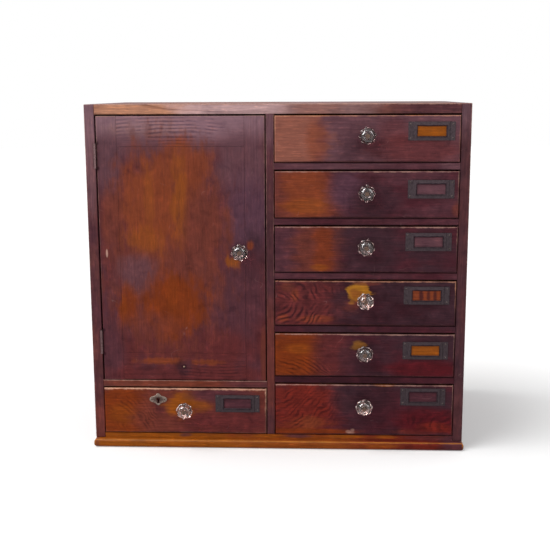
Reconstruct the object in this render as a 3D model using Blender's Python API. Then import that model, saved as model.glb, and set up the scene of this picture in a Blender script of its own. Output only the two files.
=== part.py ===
"""Collectors chest: a stained oak cabinet with a cupboard door, a locking drawer under the door and a
column of six drawers beside it, on a round-nosed base board.

Metres, +X to the right, -Y towards the viewer, +Z up. The origin is on the floor under the middle of the
base board. Every piece is one closed solid, parented to the empty of the body that it moves with.
"""
import math

import bmesh
import bpy
from mathutils import Matrix, Vector

MM = 0.001

# Gap left between two pieces that touch
SEAT_GAP = 0.3 * MM

# Carcass boards, with heights counted above the base board
CARCASS_WIDTH = 584 * MM
CARCASS_DEPTH = 330 * MM
CARCASS_HEIGHT = 528 * MM
SIDE_THICKNESS = 15 * MM
TOP_THICKNESS = 15 * MM
TOP_TONGUE = 7 * MM
DIVIDER_THICKNESS = 12 * MM
SHELF_THICKNESS = 10 * MM
BACK_THICKNESS = 8 * MM
BACK_REBATE = 7 * MM
BACK_BOARDS = 5
BACK_GROOVE = 1.6 * MM
HOUSING_DEPTH = 4 * MM
HOUSING_STOP = 24 * MM
BOARD_ARRIS = 0.8 * MM

# Base board: the moulded lower part and the step that stands between the sides
BASE_THICKNESS = 14 * MM
BASE_STEP = 8.5 * MM
BASE_FRONT_OVERHANG = 7 * MM
BASE_SIDE_OVERHANG = 2 * MM
BASE_NOSE = 5.5 * MM
BASE_NOSE_STEPS = 4

# Openings of the two columns: the lowest right one takes what the others leave
LEFT_BAY_WIDTH = 261 * MM
LEFT_DRAWER_OPENING = 77.5 * MM
COLUMN_OPENINGS = (73.5 * MM, 74.5 * MM, 74.5 * MM, 74 * MM, 72 * MM)

# Drawers: the front's margins in its opening, then the dovetailed box behind it
DRAWER_SIDE_GAP = 1.2 * MM
DRAWER_HEAD_GAP = 2.5 * MM
DRAWER_FOOT_GAP = 1.2 * MM
DRAWER_BACK_ROOM = 10 * MM
FRONT_THICKNESS = 17 * MM
FRONT_PROUD = 1.8 * MM
FRONT_ARRIS = 1.8 * MM
BOX_THICKNESS = 8 * MM
BOX_HEAD_DROP = 4 * MM
TAIL_COUNT = 3
TAIL_LENGTH = 10.5 * MM
TAIL_SLOPE = 1 / 7
TAIL_SHARE = 0.36
BOTTOM_THICKNESS = 4 * MM
BOTTOM_RISE = 7 * MM
GROOVE_DEPTH = 3 * MM

# Where each drawer's knob and label holder were put by hand, right column from the top, then the left one
KNOB_DROPS = (30 * MM, 32.5 * MM, 30.5 * MM, 29.5 * MM, 29 * MM, 33 * MM, 33 * MM)
LABEL_INSETS = (43 * MM, 42 * MM, 44 * MM, 45 * MM, 45 * MM, 47 * MM, 46 * MM)
LABEL_DROPS = (23.5 * MM, 27 * MM, 23 * MM, 22 * MM, 25.5 * MM, 18.5 * MM, 24 * MM)

# Pressed glass knob: a smooth dome over a skirt of eight points, on a narrow neck
KNOB_RADIUS = 13.6 * MM
KNOB_LENGTH = 23 * MM
KNOB_DOME_RADIUS = 11.2 * MM
KNOB_DOME_HEIGHT = 7.5 * MM
KNOB_SKIRT_TIP = 10 * MM
KNOB_SKIRT_FOOT = 16.5 * MM
KNOB_FOOT_RADIUS = 7.6 * MM
KNOB_NECK_RADIUS = 6 * MM
KNOB_SEAT_RADIUS = 4.8 * MM
KNOB_SEAT_DEPTH = 2.6 * MM
FLUTES = 8
FLUTE_DEPTH = 0.2
STEPS_PER_FLUTE = 4

# Pressed label holder, open at the top for its card
LABEL_WIDTH = 70 * MM
LABEL_HEIGHT = 28 * MM
LABEL_SHEET = 0.8 * MM
LABEL_CARD_GAP = 0.9 * MM
LABEL_RIM_WIDTH = 54 * MM
LABEL_WINDOW_WIDTH = 44 * MM
LABEL_WINDOW_HEIGHT = 16.5 * MM

# Door: flush frame and panel
DOOR_THICKNESS = 18 * MM
DOOR_HINGE_GAP = 2.2 * MM
DOOR_LATCH_GAP = 1.8 * MM
DOOR_HEAD_GAP = 2.5 * MM
DOOR_FOOT_GAP = 1 * MM
STILE_WIDTH = 31 * MM
TOP_RAIL_WIDTH = 46 * MM
BOTTOM_RAIL_WIDTH = 44 * MM
PANEL_THICKNESS = 12 * MM
TONGUE_SETBACK = 5 * MM
TONGUE_THICKNESS = 4 * MM
TONGUE_LENGTH = 7 * MM

# Butt hinges, with the pin a little proud of the front
HINGE_HEIGHT = 38 * MM
HINGE_LEAF_WIDTH = 13 * MM
HINGE_LEAF_SHEET = 1.2 * MM
HINGE_KNUCKLE_RADIUS = 2.2 * MM
HINGE_PIN_RADIUS = 1 * MM
HINGE_PIN_PROUD = 1.6 * MM
HINGE_FROM_HEAD = 60 * MM
HINGE_FROM_FOOT = 61.5 * MM

# Turn latch on the door knob's spindle
LATCH_BACKSET = 38.6 * MM
SPINDLE_RADIUS = 3 * MM
LATCH_THICKNESS = 3 * MM
LATCH_WIDTH = 10 * MM
LATCH_BITE = 3.6 * MM
LATCH_SLOT_ROOM = 1.2 * MM

# Lock of the left drawer
LOCK_INSET = 86.3 * MM
KEYHOLE_DROP = 18 * MM
KEYHOLE_RADIUS = 2.2 * MM
KEYHOLE_SLOT = 1 * MM
KEYHOLE_LENGTH = 6.5 * MM
ESCUTCHEON_WIDTH = 28 * MM
ESCUTCHEON_HEIGHT = 19.6 * MM
ESCUTCHEON_LOBE = 1.6 * MM
ESCUTCHEON_SHEET = 1 * MM
LOCK_WIDTH = 44 * MM
LOCK_HEIGHT = 32 * MM
LOCK_DEPTH = 9 * MM
BOLT_WIDTH = 16 * MM
BOLT_DEPTH = 4.5 * MM
BOLT_HEIGHT = 14 * MM
BOLT_THROW = 6 * MM

# Places that follow from the sizes above, seen from the middle of the carcass front at floor level
FRONT_Y = (BASE_FRONT_OVERHANG - CARCASS_DEPTH) / 2
INNER_X = CARCASS_WIDTH / 2 - SIDE_THICKNESS
DIVIDER_LEFT = LEFT_BAY_WIDTH - INNER_X
DIVIDER_RIGHT = DIVIDER_LEFT + DIVIDER_THICKNESS
STEP_Z = BASE_THICKNESS + BASE_STEP
TOP_Z = BASE_THICKNESS + CARCASS_HEIGHT
CEILING_Z = TOP_Z - TOP_THICKNESS
BACK_Y = CARCASS_DEPTH - BACK_THICKNESS
FLOOR_LOW = STEP_Z + LEFT_DRAWER_OPENING
FLOOR_HIGH = FLOOR_LOW + SHELF_THICKNESS
KNOB_FOOT_Y = FRONT_PROUD + SEAT_GAP

FINISHES = {
    "dark_oak": ((0.115, 0.036, 0.034), 0.42, 0.0),
    "worn_oak": ((0.22, 0.075, 0.032), 0.42, 0.0),
    "bare_oak": ((0.34, 0.19, 0.09), 0.7, 0.0),
    "glass": ((0.86, 0.87, 0.85), 0.08, 0.0),
    "old_steel": ((0.085, 0.085, 0.075), 0.48, 1.0),
    "old_brass": ((0.25, 0.18, 0.09), 0.45, 1.0),
}


def material(node, finish):
    """The piece's own Principled material."""
    colour, roughness, metallic = FINISHES[finish]
    made = bpy.data.materials.new(node + "_" + finish)
    made.use_nodes = True
    shader = made.node_tree.nodes["Principled BSDF"]
    shader.inputs["Base Color"].default_value = (*colour, 1.0)
    shader.inputs["Roughness"].default_value = roughness
    shader.inputs["Metallic"].default_value = metallic
    if finish == "glass":
        shader.inputs["Transmission Weight"].default_value = 1.0
    made.diffuse_color = (*colour, 1.0)
    return made


def pivot(name, parent, place):
    """An empty that carries the pieces of one body."""
    made = bpy.data.objects.new(name, None)
    bpy.context.collection.objects.link(made)
    made.parent = parent
    made.location = place
    made.empty_display_size = 20 * MM
    return made


def mesh_object(name, bm, parent, shift):
    bmesh.ops.recalc_face_normals(bm, faces=bm.faces[:])
    mesh = bpy.data.meshes.new(name)
    bm.to_mesh(mesh)
    bm.free()
    made = bpy.data.objects.new(name, mesh)
    bpy.context.collection.objects.link(made)
    made.parent = parent
    made.location = shift
    return made


def piece(name, bm, parent, finish, shift=(0, 0, 0)):
    """One named sub-part."""
    made = mesh_object(name, bm, parent, shift)
    made.data.materials.append(material(name, finish))
    return made


def combine(target, bm, label, operation="DIFFERENCE"):
    """Cut the mesh from the target, or join it on, with an exact Boolean."""
    tool = mesh_object(target.name + "_" + label, bm, target.parent, target.location)
    tool.hide_render = True
    tool.display_type = "WIRE"
    step = target.modifiers.new(label, "BOOLEAN")
    step.operation = operation
    step.solver = "EXACT"
    step.object = tool


def add_box(bm, low, high):
    low = Vector(low)
    high = Vector(high)
    bmesh.ops.create_cube(bm, size=1.0, matrix=Matrix.LocRotScale((low + high) / 2, None, high - low))


def boxes(*corners):
    bm = bmesh.new()
    for low, high in corners:
        add_box(bm, low, high)
    return bm


def add_prism(bm, outline, axis, start, end):
    """Extrude a flat outline along X (given as y, z), Y (x, z) or Z (x, y)."""
    lift = {"X": lambda a, b: (start, a, b), "Y": lambda a, b: (a, start, b), "Z": lambda a, b: (a, b, start)}
    push = {"X": (end - start, 0, 0), "Y": (0, end - start, 0), "Z": (0, 0, end - start)}
    face = bm.faces.new([bm.verts.new(lift[axis](a, b)) for a, b in outline])
    grown = bmesh.ops.extrude_face_region(bm, geom=[face])["geom"]
    far = [item for item in grown if isinstance(item, bmesh.types.BMVert)]
    bmesh.ops.translate(bm, vec=push[axis], verts=far)


def prism(outline, axis, start, end):
    bm = bmesh.new()
    add_prism(bm, outline, axis, start, end)
    return bm


def round_edges(bm, radius, segments, wanted):
    """Round the edges whose two ends both satisfy the test."""
    chosen = [edge for edge in bm.edges if all(wanted(vert.co) for vert in edge.verts)]
    bmesh.ops.bevel(
        bm, geom=chosen, offset=radius, offset_type="OFFSET", segments=segments,
        profile=0.5, affect="EDGES", material=-1,
    )


def near(value, goal):
    return abs(value - goal) < 0.01 * MM


def disc(radius, steps, centre=(0, 0)):
    angles = [2 * math.pi * (step + 0.5) / steps for step in range(steps)]
    return [(centre[0] + radius * math.cos(a), centre[1] + radius * math.sin(a)) for a in angles]


def housed_outline(left, right, back):
    """Plan of a board whose ends enter stopped housings, with its front corners cut back to the openings."""
    reach = HOUSING_DEPTH - SEAT_GAP
    stop = HOUSING_STOP + SEAT_GAP
    return [
        (left + SEAT_GAP, 0), (right - SEAT_GAP, 0), (right - SEAT_GAP, stop), (right + reach, stop),
        (right + reach, back), (left - reach, back), (left - reach, stop), (left + SEAT_GAP, stop),
    ]


def housing(face, into, low, high):
    """Cutter box for a stopped housing in a board face, into is +1 or -1 along X."""
    ends = sorted((face - into * 2 * MM, face + into * HOUSING_DEPTH))
    return ((ends[0], HOUSING_STOP, low - SEAT_GAP), (ends[1], BACK_Y + 2 * MM, high + SEAT_GAP))


def shelf_levels():
    """Undersides and tops of the five dust boards in the right column, from the top."""
    levels = []
    ceiling = CEILING_Z
    for opening in COLUMN_OPENINGS:
        high = ceiling - opening
        levels.append((high - SHELF_THICKNESS, high))
        ceiling = high - SHELF_THICKNESS
    return levels


def keyhole_outline(x, z, spare=0.0):
    """Round hole with a slot below it."""
    radius = KEYHOLE_RADIUS + spare
    half = KEYHOLE_SLOT + spare
    start = math.acos(half / radius)
    sweep = math.pi + 2 * start
    arc = [-start + sweep * step / 12 for step in range(13)]
    points = [(x + radius * math.cos(a), z + radius * math.sin(a)) for a in arc]
    return points + [(x - half, z - KEYHOLE_LENGTH - spare), (x + half, z - KEYHOLE_LENGTH - spare)]


def hinge_levels():
    head = CEILING_Z - DOOR_HEAD_GAP - HINGE_FROM_HEAD
    foot = FLOOR_HIGH + DOOR_FOOT_GAP + HINGE_FROM_FOOT
    return {"upper": head, "lower": foot}


def build_base(carcass):
    # Base board: one thick board, its nose rounded on the front and both ends, its step set between the sides
    wide = CARCASS_WIDTH / 2 + BASE_SIDE_OVERHANG
    bm = boxes(((-wide, -BASE_FRONT_OVERHANG, 0), (wide, CARCASS_DEPTH, BASE_THICKNESS)))
    back = CARCASS_DEPTH
    for level in (0, BASE_THICKNESS):
        chosen = [
            edge for edge in bm.edges
            if all(near(vert.co.z, level) for vert in edge.verts)
            and not all(near(vert.co.y, back) for vert in edge.verts)
        ]
        bmesh.ops.bevel(
            bm, geom=chosen, offset=BASE_NOSE, offset_type="OFFSET", segments=BASE_NOSE_STEPS,
            profile=0.5, affect="EDGES", material=-1,
        )
    base = piece("base_board", bm, carcass, "worn_oak")
    inside = INNER_X - SEAT_GAP
    step = boxes(((-inside, 0, BASE_THICKNESS - 2 * MM), (inside, BACK_Y - SEAT_GAP, STEP_Z)))
    combine(base, step, "step", "UNION")
    foot = boxes((
        (DIVIDER_LEFT - SEAT_GAP, HOUSING_STOP, STEP_Z - HOUSING_DEPTH),
        (DIVIDER_RIGHT + SEAT_GAP, CARCASS_DEPTH, STEP_Z + 2 * MM),
    ))
    combine(base, foot, "divider_housing")


def build_side(name, carcass, hand, levels):
    """Side board: rebated for the back, with stopped housings for the boards that meet it."""
    outer = hand * CARCASS_WIDTH / 2
    inner = hand * INNER_X
    low = (min(outer, inner), 0, BASE_THICKNESS + SEAT_GAP)
    high = (max(outer, inner), CARCASS_DEPTH, TOP_Z)
    bm = boxes((low, high))
    round_edges(bm, BOARD_ARRIS, 1, lambda co: near(co.y, 0) or (near(co.z, TOP_Z) and near(co.x, outer)))
    side = piece(name, bm, carcass, "dark_oak")
    rebate = sorted((inner - hand * 2 * MM, inner + hand * BACK_REBATE))
    combine(side, boxes((
        (rebate[0], BACK_Y, 0), (rebate[1], CARCASS_DEPTH + 5 * MM, TOP_Z + 5 * MM),
    )), "rebate")
    cuts = [housing(inner, hand, low, high) for low, high in levels]
    combine(side, boxes(*cuts), "housings")
    return side


def build_carcass(carcass):
    shelves = shelf_levels()
    tongue = (CEILING_Z, CEILING_Z + TOP_TONGUE)
    left_side = build_side("left_side", carcass, -1, [(FLOOR_LOW, FLOOR_HIGH), tongue])
    build_side("right_side", carcass, 1, [*shelves, tongue])

    # Hinge gains: the frame leaves lie flush in the left side, with a notch at the arris for the knuckles
    gains = bmesh.new()
    for centre in hinge_levels().values():
        low = centre - HINGE_HEIGHT / 2 - SEAT_GAP
        high = centre + HINGE_HEIGHT / 2 + SEAT_GAP
        knuckle = HINGE_KNUCKLE_RADIUS + SEAT_GAP
        deep = max(HINGE_LEAF_SHEET + SEAT_GAP, knuckle - hinge_axis_x() - INNER_X)
        notch = knuckle - HINGE_PIN_PROUD + SEAT_GAP
        outline = [
            (-INNER_X + 2 * MM, -2 * MM), (-INNER_X + 2 * MM, HINGE_LEAF_WIDTH + SEAT_GAP),
            (-INNER_X - HINGE_LEAF_SHEET - SEAT_GAP, HINGE_LEAF_WIDTH + SEAT_GAP),
            (-INNER_X - HINGE_LEAF_SHEET - SEAT_GAP, notch), (-INNER_X - deep - SEAT_GAP, notch),
            (-INNER_X - deep - SEAT_GAP, -2 * MM),
        ]
        add_prism(gains, outline, "Z", low, high)
    combine(left_side, gains, "hinge_gains")

    # Top board: lies between the sides on stopped tongues
    bm = prism(housed_outline(-INNER_X, INNER_X, BACK_Y - SEAT_GAP), "Z", CEILING_Z, TOP_Z)
    round_edges(bm, BOARD_ARRIS, 1, lambda co: near(co.y, 0))
    top = piece("top_board", bm, carcass, "worn_oak")
    reach = INNER_X + HOUSING_DEPTH + 2 * MM
    shoulder = INNER_X - SEAT_GAP
    waste = CEILING_Z + TOP_TONGUE
    past = BACK_Y + 5 * MM
    combine(top, boxes(
        ((-reach, HOUSING_STOP - 2 * MM, waste), (-shoulder, past, TOP_Z + 5 * MM)),
        ((shoulder, HOUSING_STOP - 2 * MM, waste), (reach, past, TOP_Z + 5 * MM)),
    ), "tongues")
    combine(top, boxes((
        (DIVIDER_LEFT - SEAT_GAP, HOUSING_STOP, CEILING_Z - 2 * MM),
        (DIVIDER_RIGHT + SEAT_GAP, past, CEILING_Z + HOUSING_DEPTH),
    )), "divider_housing")

    # Centre divider: housed in the base step and the top board, and itself housed for every shelf
    reach = HOUSING_DEPTH - SEAT_GAP
    stop = HOUSING_STOP + SEAT_GAP
    back = BACK_Y - SEAT_GAP
    outline = [
        (0, STEP_Z + SEAT_GAP), (stop, STEP_Z + SEAT_GAP), (stop, STEP_Z - reach), (back, STEP_Z - reach),
        (back, CEILING_Z + reach), (stop, CEILING_Z + reach), (stop, CEILING_Z - SEAT_GAP),
        (0, CEILING_Z - SEAT_GAP),
    ]
    bm = prism(outline, "X", DIVIDER_LEFT, DIVIDER_RIGHT)
    round_edges(bm, BOARD_ARRIS, 1, lambda co: near(co.y, 0))
    divider = piece("centre_divider", bm, carcass, "dark_oak")
    cuts = [housing(DIVIDER_RIGHT, -1, low, high) for low, high in shelves]
    cuts.append(housing(DIVIDER_LEFT, 1, FLOOR_LOW, FLOOR_HIGH))
    combine(divider, boxes(*cuts), "housings")
    axis_x, axis_z = latch_axis()
    swing = DIVIDER_LEFT - axis_x + LATCH_BITE
    dip = math.sqrt(swing ** 2 - (DIVIDER_LEFT - axis_x) ** 2) + LATCH_WIDTH
    combine(divider, boxes((
        (DIVIDER_LEFT - 2 * MM, DOOR_THICKNESS - LATCH_SLOT_ROOM / 2, axis_z - dip - LATCH_SLOT_ROOM),
        (
            DIVIDER_LEFT + LATCH_BITE + LATCH_SLOT_ROOM,
            DOOR_THICKNESS + LATCH_THICKNESS + LATCH_SLOT_ROOM,
            axis_z + LATCH_WIDTH / 2 + LATCH_SLOT_ROOM,
        ),
    )), "latch_slot")

    # Dust boards between the right drawers, and the cupboard floor
    for number, (low, high) in enumerate(shelves, start=1):
        bm = prism(housed_outline(DIVIDER_RIGHT, INNER_X, BACK_Y - SEAT_GAP), "Z", low, high)
        piece("dust_board_%d" % number, bm, carcass, "dark_oak")
    bm = prism(housed_outline(-INNER_X, DIVIDER_LEFT, BACK_Y - SEAT_GAP), "Z", FLOOR_LOW, FLOOR_HIGH)
    floor = piece("cupboard_floor", bm, carcass, "dark_oak")
    x = lock_x()
    y = bolt_y()
    spare = 2 * SEAT_GAP
    reached = FLOOR_LOW + BOLT_THROW - DRAWER_HEAD_GAP + spare
    combine(floor, boxes((
        (x - BOLT_WIDTH / 2 - spare, y - BOLT_DEPTH / 2 - spare, FLOOR_LOW - 2 * MM),
        (x + BOLT_WIDTH / 2 + spare, y + BOLT_DEPTH / 2 + spare, reached),
    )), "bolt_mortise")

    # Back panel: boards edge to edge in the side rebates, shown by the beaded joints between them
    wide = INNER_X + BACK_REBATE - SEAT_GAP
    bm = boxes(((-wide, BACK_Y + SEAT_GAP, BASE_THICKNESS + SEAT_GAP), (wide, CARCASS_DEPTH, TOP_Z)))
    panel = piece("back_panel", bm, carcass, "bare_oak")
    grooves = bmesh.new()
    for number in range(1, BACK_BOARDS):
        x = -wide + 2 * wide * number / BACK_BOARDS
        outline = [
            (x, CARCASS_DEPTH - BACK_GROOVE), (x + 2 * BACK_GROOVE, CARCASS_DEPTH + BACK_GROOVE),
            (x - 2 * BACK_GROOVE, CARCASS_DEPTH + BACK_GROOVE),
        ]
        add_prism(grooves, outline, "Z", 0, TOP_Z + 5 * MM)
    combine(panel, grooves, "joints")


def hinge_axis_x():
    return -INNER_X


def latch_axis():
    """Place of the door knob's spindle, half way up the door."""
    low = FLOOR_HIGH + DOOR_FOOT_GAP
    high = CEILING_Z - DOOR_HEAD_GAP
    return DIVIDER_LEFT - DOOR_LATCH_GAP - LATCH_BACKSET, (low + high) / 2


def lock_x():
    return -INNER_X + DRAWER_SIDE_GAP + LOCK_INSET


def lock_front_y():
    """Front wall of the lock pocket, seen from the carcass front."""
    return FRONT_THICKNESS - FRONT_PROUD - LOCK_DEPTH


def bolt_y():
    return lock_front_y() + LOCK_DEPTH / 2


def knob_mesh(tail):
    """Spin the knob's profile about its bolt, then press the flutes into the skirt.

    The profile runs from the seat of the bolt head, over the dome, the skirt and the neck, to the foot; tail
    adds a spindle of that length behind the foot.
    """
    front = -KNOB_LENGTH
    profile = [
        (0, front + KNOB_SEAT_DEPTH),
        (KNOB_SEAT_RADIUS, front + KNOB_SEAT_DEPTH),
        (KNOB_SEAT_RADIUS + 1 * MM, front),
        (KNOB_DOME_RADIUS * 0.79, front + KNOB_DOME_HEIGHT * 0.24),
        (KNOB_DOME_RADIUS * 0.95, front + KNOB_DOME_HEIGHT * 0.6),
        (KNOB_DOME_RADIUS, front + KNOB_DOME_HEIGHT),
        (KNOB_RADIUS, front + KNOB_SKIRT_TIP),
        (KNOB_RADIUS * 0.9, front + KNOB_SKIRT_TIP + 2.5 * MM),
        (KNOB_NECK_RADIUS * 1.25, front + KNOB_SKIRT_FOOT),
        (KNOB_NECK_RADIUS, -KNOB_LENGTH * 0.18),
        (KNOB_FOOT_RADIUS, 0),
    ]
    if tail:
        profile += [(SPINDLE_RADIUS, 0), (SPINDLE_RADIUS, tail), (0, tail)]
    else:
        profile.append((0, 0))
    bm = bmesh.new()
    verts = [bm.verts.new((radius, depth, 0)) for radius, depth in profile]
    edges = [bm.edges.new(pair) for pair in zip(verts, verts[1:])]
    bmesh.ops.spin(
        bm, geom=verts + edges, cent=(0, 0, 0), axis=(0, 1, 0), angle=2 * math.pi,
        steps=FLUTES * STEPS_PER_FLUTE, use_merge=True,
    )
    bmesh.ops.remove_doubles(bm, verts=bm.verts[:], dist=0.02 * MM)
    for vert in bm.verts:
        radius = math.hypot(vert.co.x, vert.co.z)
        behind_dome = vert.co.y > front + KNOB_DOME_HEIGHT + 0.1 * MM
        share = (radius - KNOB_FOOT_RADIUS) / (KNOB_RADIUS - KNOB_FOOT_RADIUS)
        if behind_dome and share > 0.02:
            turn = math.atan2(vert.co.z, vert.co.x)
            press = 1 - FLUTE_DEPTH * min(1, share) * abs(math.sin(turn * FLUTES / 2))
            vert.co.x *= press
            vert.co.z *= press
    return bm


def build_door(carcass):
    axis_x = hinge_axis_x()
    axis_y = -HINGE_PIN_PROUD
    door = pivot("door_swing", carcass, (axis_x, axis_y, 0))
    shift = (-axis_x, -axis_y, 0)
    left = -INNER_X + DOOR_HINGE_GAP
    right = DIVIDER_LEFT - DOOR_LATCH_GAP
    low = FLOOR_HIGH + DOOR_FOOT_GAP
    high = CEILING_Z - DOOR_HEAD_GAP
    back = DOOR_THICKNESS
    stile_left = left + STILE_WIDTH
    stile_right = right - STILE_WIDTH
    rail_low = low + BOTTOM_RAIL_WIDTH
    rail_high = high - TOP_RAIL_WIDTH
    groove_near = TONGUE_SETBACK - SEAT_GAP
    groove_far = TONGUE_SETBACK + TONGUE_THICKNESS + SEAT_GAP

    # Stiles: full height, grooved on the inner edge for the panel and the rails' stub tenons
    for name, edge, inner, hand in (
        ("door_hinge_stile", left, stile_left, 1),
        ("door_latch_stile", right, stile_right, -1),
    ):
        bm = boxes(((min(edge, inner), 0, low), (max(edge, inner), back, high)))
        round_edges(bm, FRONT_ARRIS, 2, lambda co: near(co.y, 0) and not near(co.x, inner))
        stile = piece(name, bm, door, "dark_oak", shift)
        ends = sorted((inner - hand * TONGUE_LENGTH, inner + hand * 2 * MM))
        combine(stile, boxes((
            (ends[0], groove_near, low - 5 * MM), (ends[1], groove_far, high + 5 * MM),
        )), "groove")

    # Rails: between the stiles on stub tenons, grooved for the panel
    reach = TONGUE_LENGTH - SEAT_GAP
    for name, outer, inner, hand in (
        ("door_top_rail", high, rail_high, -1),
        ("door_bottom_rail", low, rail_low, 1),
    ):
        bottom, top = sorted((outer, inner))
        bm = boxes(((stile_left - reach, 0, bottom), (stile_right + reach, back, top)))
        round_edges(bm, FRONT_ARRIS, 2, lambda co: near(co.y, 0) and near(co.z, outer))
        rail = piece(name, bm, door, "dark_oak", shift)
        shoulders = []
        for start, end in (
            (stile_left - TONGUE_LENGTH - 2 * MM, stile_left + SEAT_GAP),
            (stile_right - SEAT_GAP, stile_right + TONGUE_LENGTH + 2 * MM),
        ):
            shoulders.append(((start, -2 * MM, bottom - 2 * MM), (end, TONGUE_SETBACK, top + 2 * MM)))
            shoulders.append((
                (start, TONGUE_SETBACK + TONGUE_THICKNESS, bottom - 2 * MM),
                (end, back + 2 * MM, top + 2 * MM),
            ))
        combine(rail, boxes(*shoulders), "tenons")
        ends = sorted((inner - hand * TONGUE_LENGTH, inner + hand * 2 * MM))
        across = stile_right + TONGUE_LENGTH + 5 * MM
        combine(rail, boxes((
            (stile_left - TONGUE_LENGTH - 5 * MM, groove_near, ends[0]), (across, groove_far, ends[1]),
        )), "groove")

    # Panel: flush in front, with a tongue all round
    bm = boxes((
        (stile_left - reach, 0, rail_low - reach), (stile_right + reach, PANEL_THICKNESS, rail_high + reach),
    ))
    panel = piece("door_panel", bm, door, "worn_oak", shift)
    for label, start, end in (
        ("front_rebate", -2 * MM, TONGUE_SETBACK),
        ("back_rebate", TONGUE_SETBACK + TONGUE_THICKNESS, PANEL_THICKNESS + 2 * MM),
    ):
        far = 2 * TONGUE_LENGTH
        rim_low = rail_low + SEAT_GAP
        rim_high = rail_high - SEAT_GAP
        rim_left = stile_left + SEAT_GAP
        rim_right = stile_right - SEAT_GAP
        combine(panel, boxes(
            ((stile_left - far, start, rail_low - far), (rim_left, end, rail_high + far)),
            ((rim_right, start, rail_low - far), (stile_right + far, end, rail_high + far)),
        ), label + "_sides")
        combine(panel, boxes(
            ((stile_left - far, start, rail_low - far), (stile_right + far, end, rim_low)),
            ((stile_left - far, start, rim_high), (stile_right + far, end, rail_high + far)),
        ), label + "_ends")
    latch_x, latch_z = latch_axis()
    around = disc(SPINDLE_RADIUS + 2 * SEAT_GAP, 16, (latch_x, latch_z))
    combine(panel, prism(around, "Y", -2 * MM, PANEL_THICKNESS + 2 * MM), "spindle_hole")

    for name, centre in hinge_levels().items():
        build_hinge("hinge_" + name, centre, carcass, door, shift)

    # Turn latch: knob, spindle and tongue turn together; the tongue hangs down clear of its slot at rest
    turn = pivot("latch_turn", door, (latch_x - axis_x, -SEAT_GAP - axis_y, latch_z))
    tongue_near = DOOR_THICKNESS + 2 * SEAT_GAP
    knob = piece("door_turn_knob", knob_mesh(tongue_near + LATCH_THICKNESS), turn, "glass")
    swing = DIVIDER_LEFT - latch_x + LATCH_BITE
    half = LATCH_WIDTH / 2
    rise = half * 1.2
    outline = [
        (-half, -swing + half), (-half * 0.5, -swing), (half * 0.5, -swing), (half, -swing + half),
        (half, 0), (half * 0.5, rise), (-half * 0.5, rise), (-half, 0),
    ]
    tongue_far = tongue_near + LATCH_THICKNESS - 0.2 * MM
    combine(knob, prism(outline, "Y", tongue_near, tongue_far), "tongue", "UNION")


def build_hinge(name, centre, carcass, door, shift):
    """Butt hinge: the frame leaf keeps the pin and the two end knuckles, the door leaf the middle one."""
    axis_x = hinge_axis_x()
    axis_y = -HINGE_PIN_PROUD
    low = centre - HINGE_HEIGHT / 2
    high = centre + HINGE_HEIGHT / 2
    cut_low = centre - HINGE_HEIGHT / 6
    cut_high = centre + HINGE_HEIGHT / 6
    clear = HINGE_KNUCKLE_RADIUS + SEAT_GAP
    around = disc(HINGE_KNUCKLE_RADIUS, 12, (axis_x, axis_y))

    leaf_left = axis_x - HINGE_LEAF_SHEET
    bm = boxes(((leaf_left, axis_y, low), (axis_x, HINGE_LEAF_WIDTH, high)))
    frame_leaf = piece(name + "_frame_leaf", bm, carcass, "old_steel")
    gap = boxes((
        (leaf_left - 2 * MM, axis_y - 2 * MM, cut_low - SEAT_GAP),
        (axis_x + 2 * MM, axis_y + clear, cut_high + SEAT_GAP),
    ))
    combine(frame_leaf, gap, "gap")
    ends = prism(around, "Z", low, cut_low - SEAT_GAP)
    add_prism(ends, around, "Z", cut_high + SEAT_GAP, high)
    combine(frame_leaf, ends, "knuckles", "UNION")
    core = prism(disc(HINGE_PIN_RADIUS, 12, (axis_x, axis_y)), "Z", low + 2 * MM, high - 2 * MM)
    combine(frame_leaf, core, "pin", "UNION")

    leaf_right = -INNER_X + DOOR_HINGE_GAP - SEAT_GAP
    leaf_near = leaf_right - HINGE_LEAF_SHEET
    bm = boxes(((leaf_near, axis_y, low), (leaf_right, HINGE_LEAF_WIDTH, high)))
    door_leaf = piece(name + "_door_leaf", bm, door, "old_steel", shift)
    before = (leaf_near - 2 * MM, axis_y - 2 * MM)
    after = (leaf_right + 2 * MM, axis_y + clear)
    combine(door_leaf, boxes(
        ((*before, low - 2 * MM), (*after, cut_low)),
        ((*before, cut_high), (*after, high + 2 * MM)),
    ), "gaps")
    combine(door_leaf, prism(around, "Z", cut_low, cut_high), "knuckle", "UNION")
    bore = disc(HINGE_PIN_RADIUS + SEAT_GAP, 12, (axis_x, axis_y))
    combine(door_leaf, prism(bore, "Z", cut_low - 2 * MM, cut_high + 2 * MM), "bore")


def tail_half(y, shoulder, pitch):
    """Half width of a dovetail's tail at y; it widens from the shoulder to its tip."""
    return pitch * TAIL_SHARE - TAIL_SLOPE * (TAIL_LENGTH - (shoulder - y))


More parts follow.
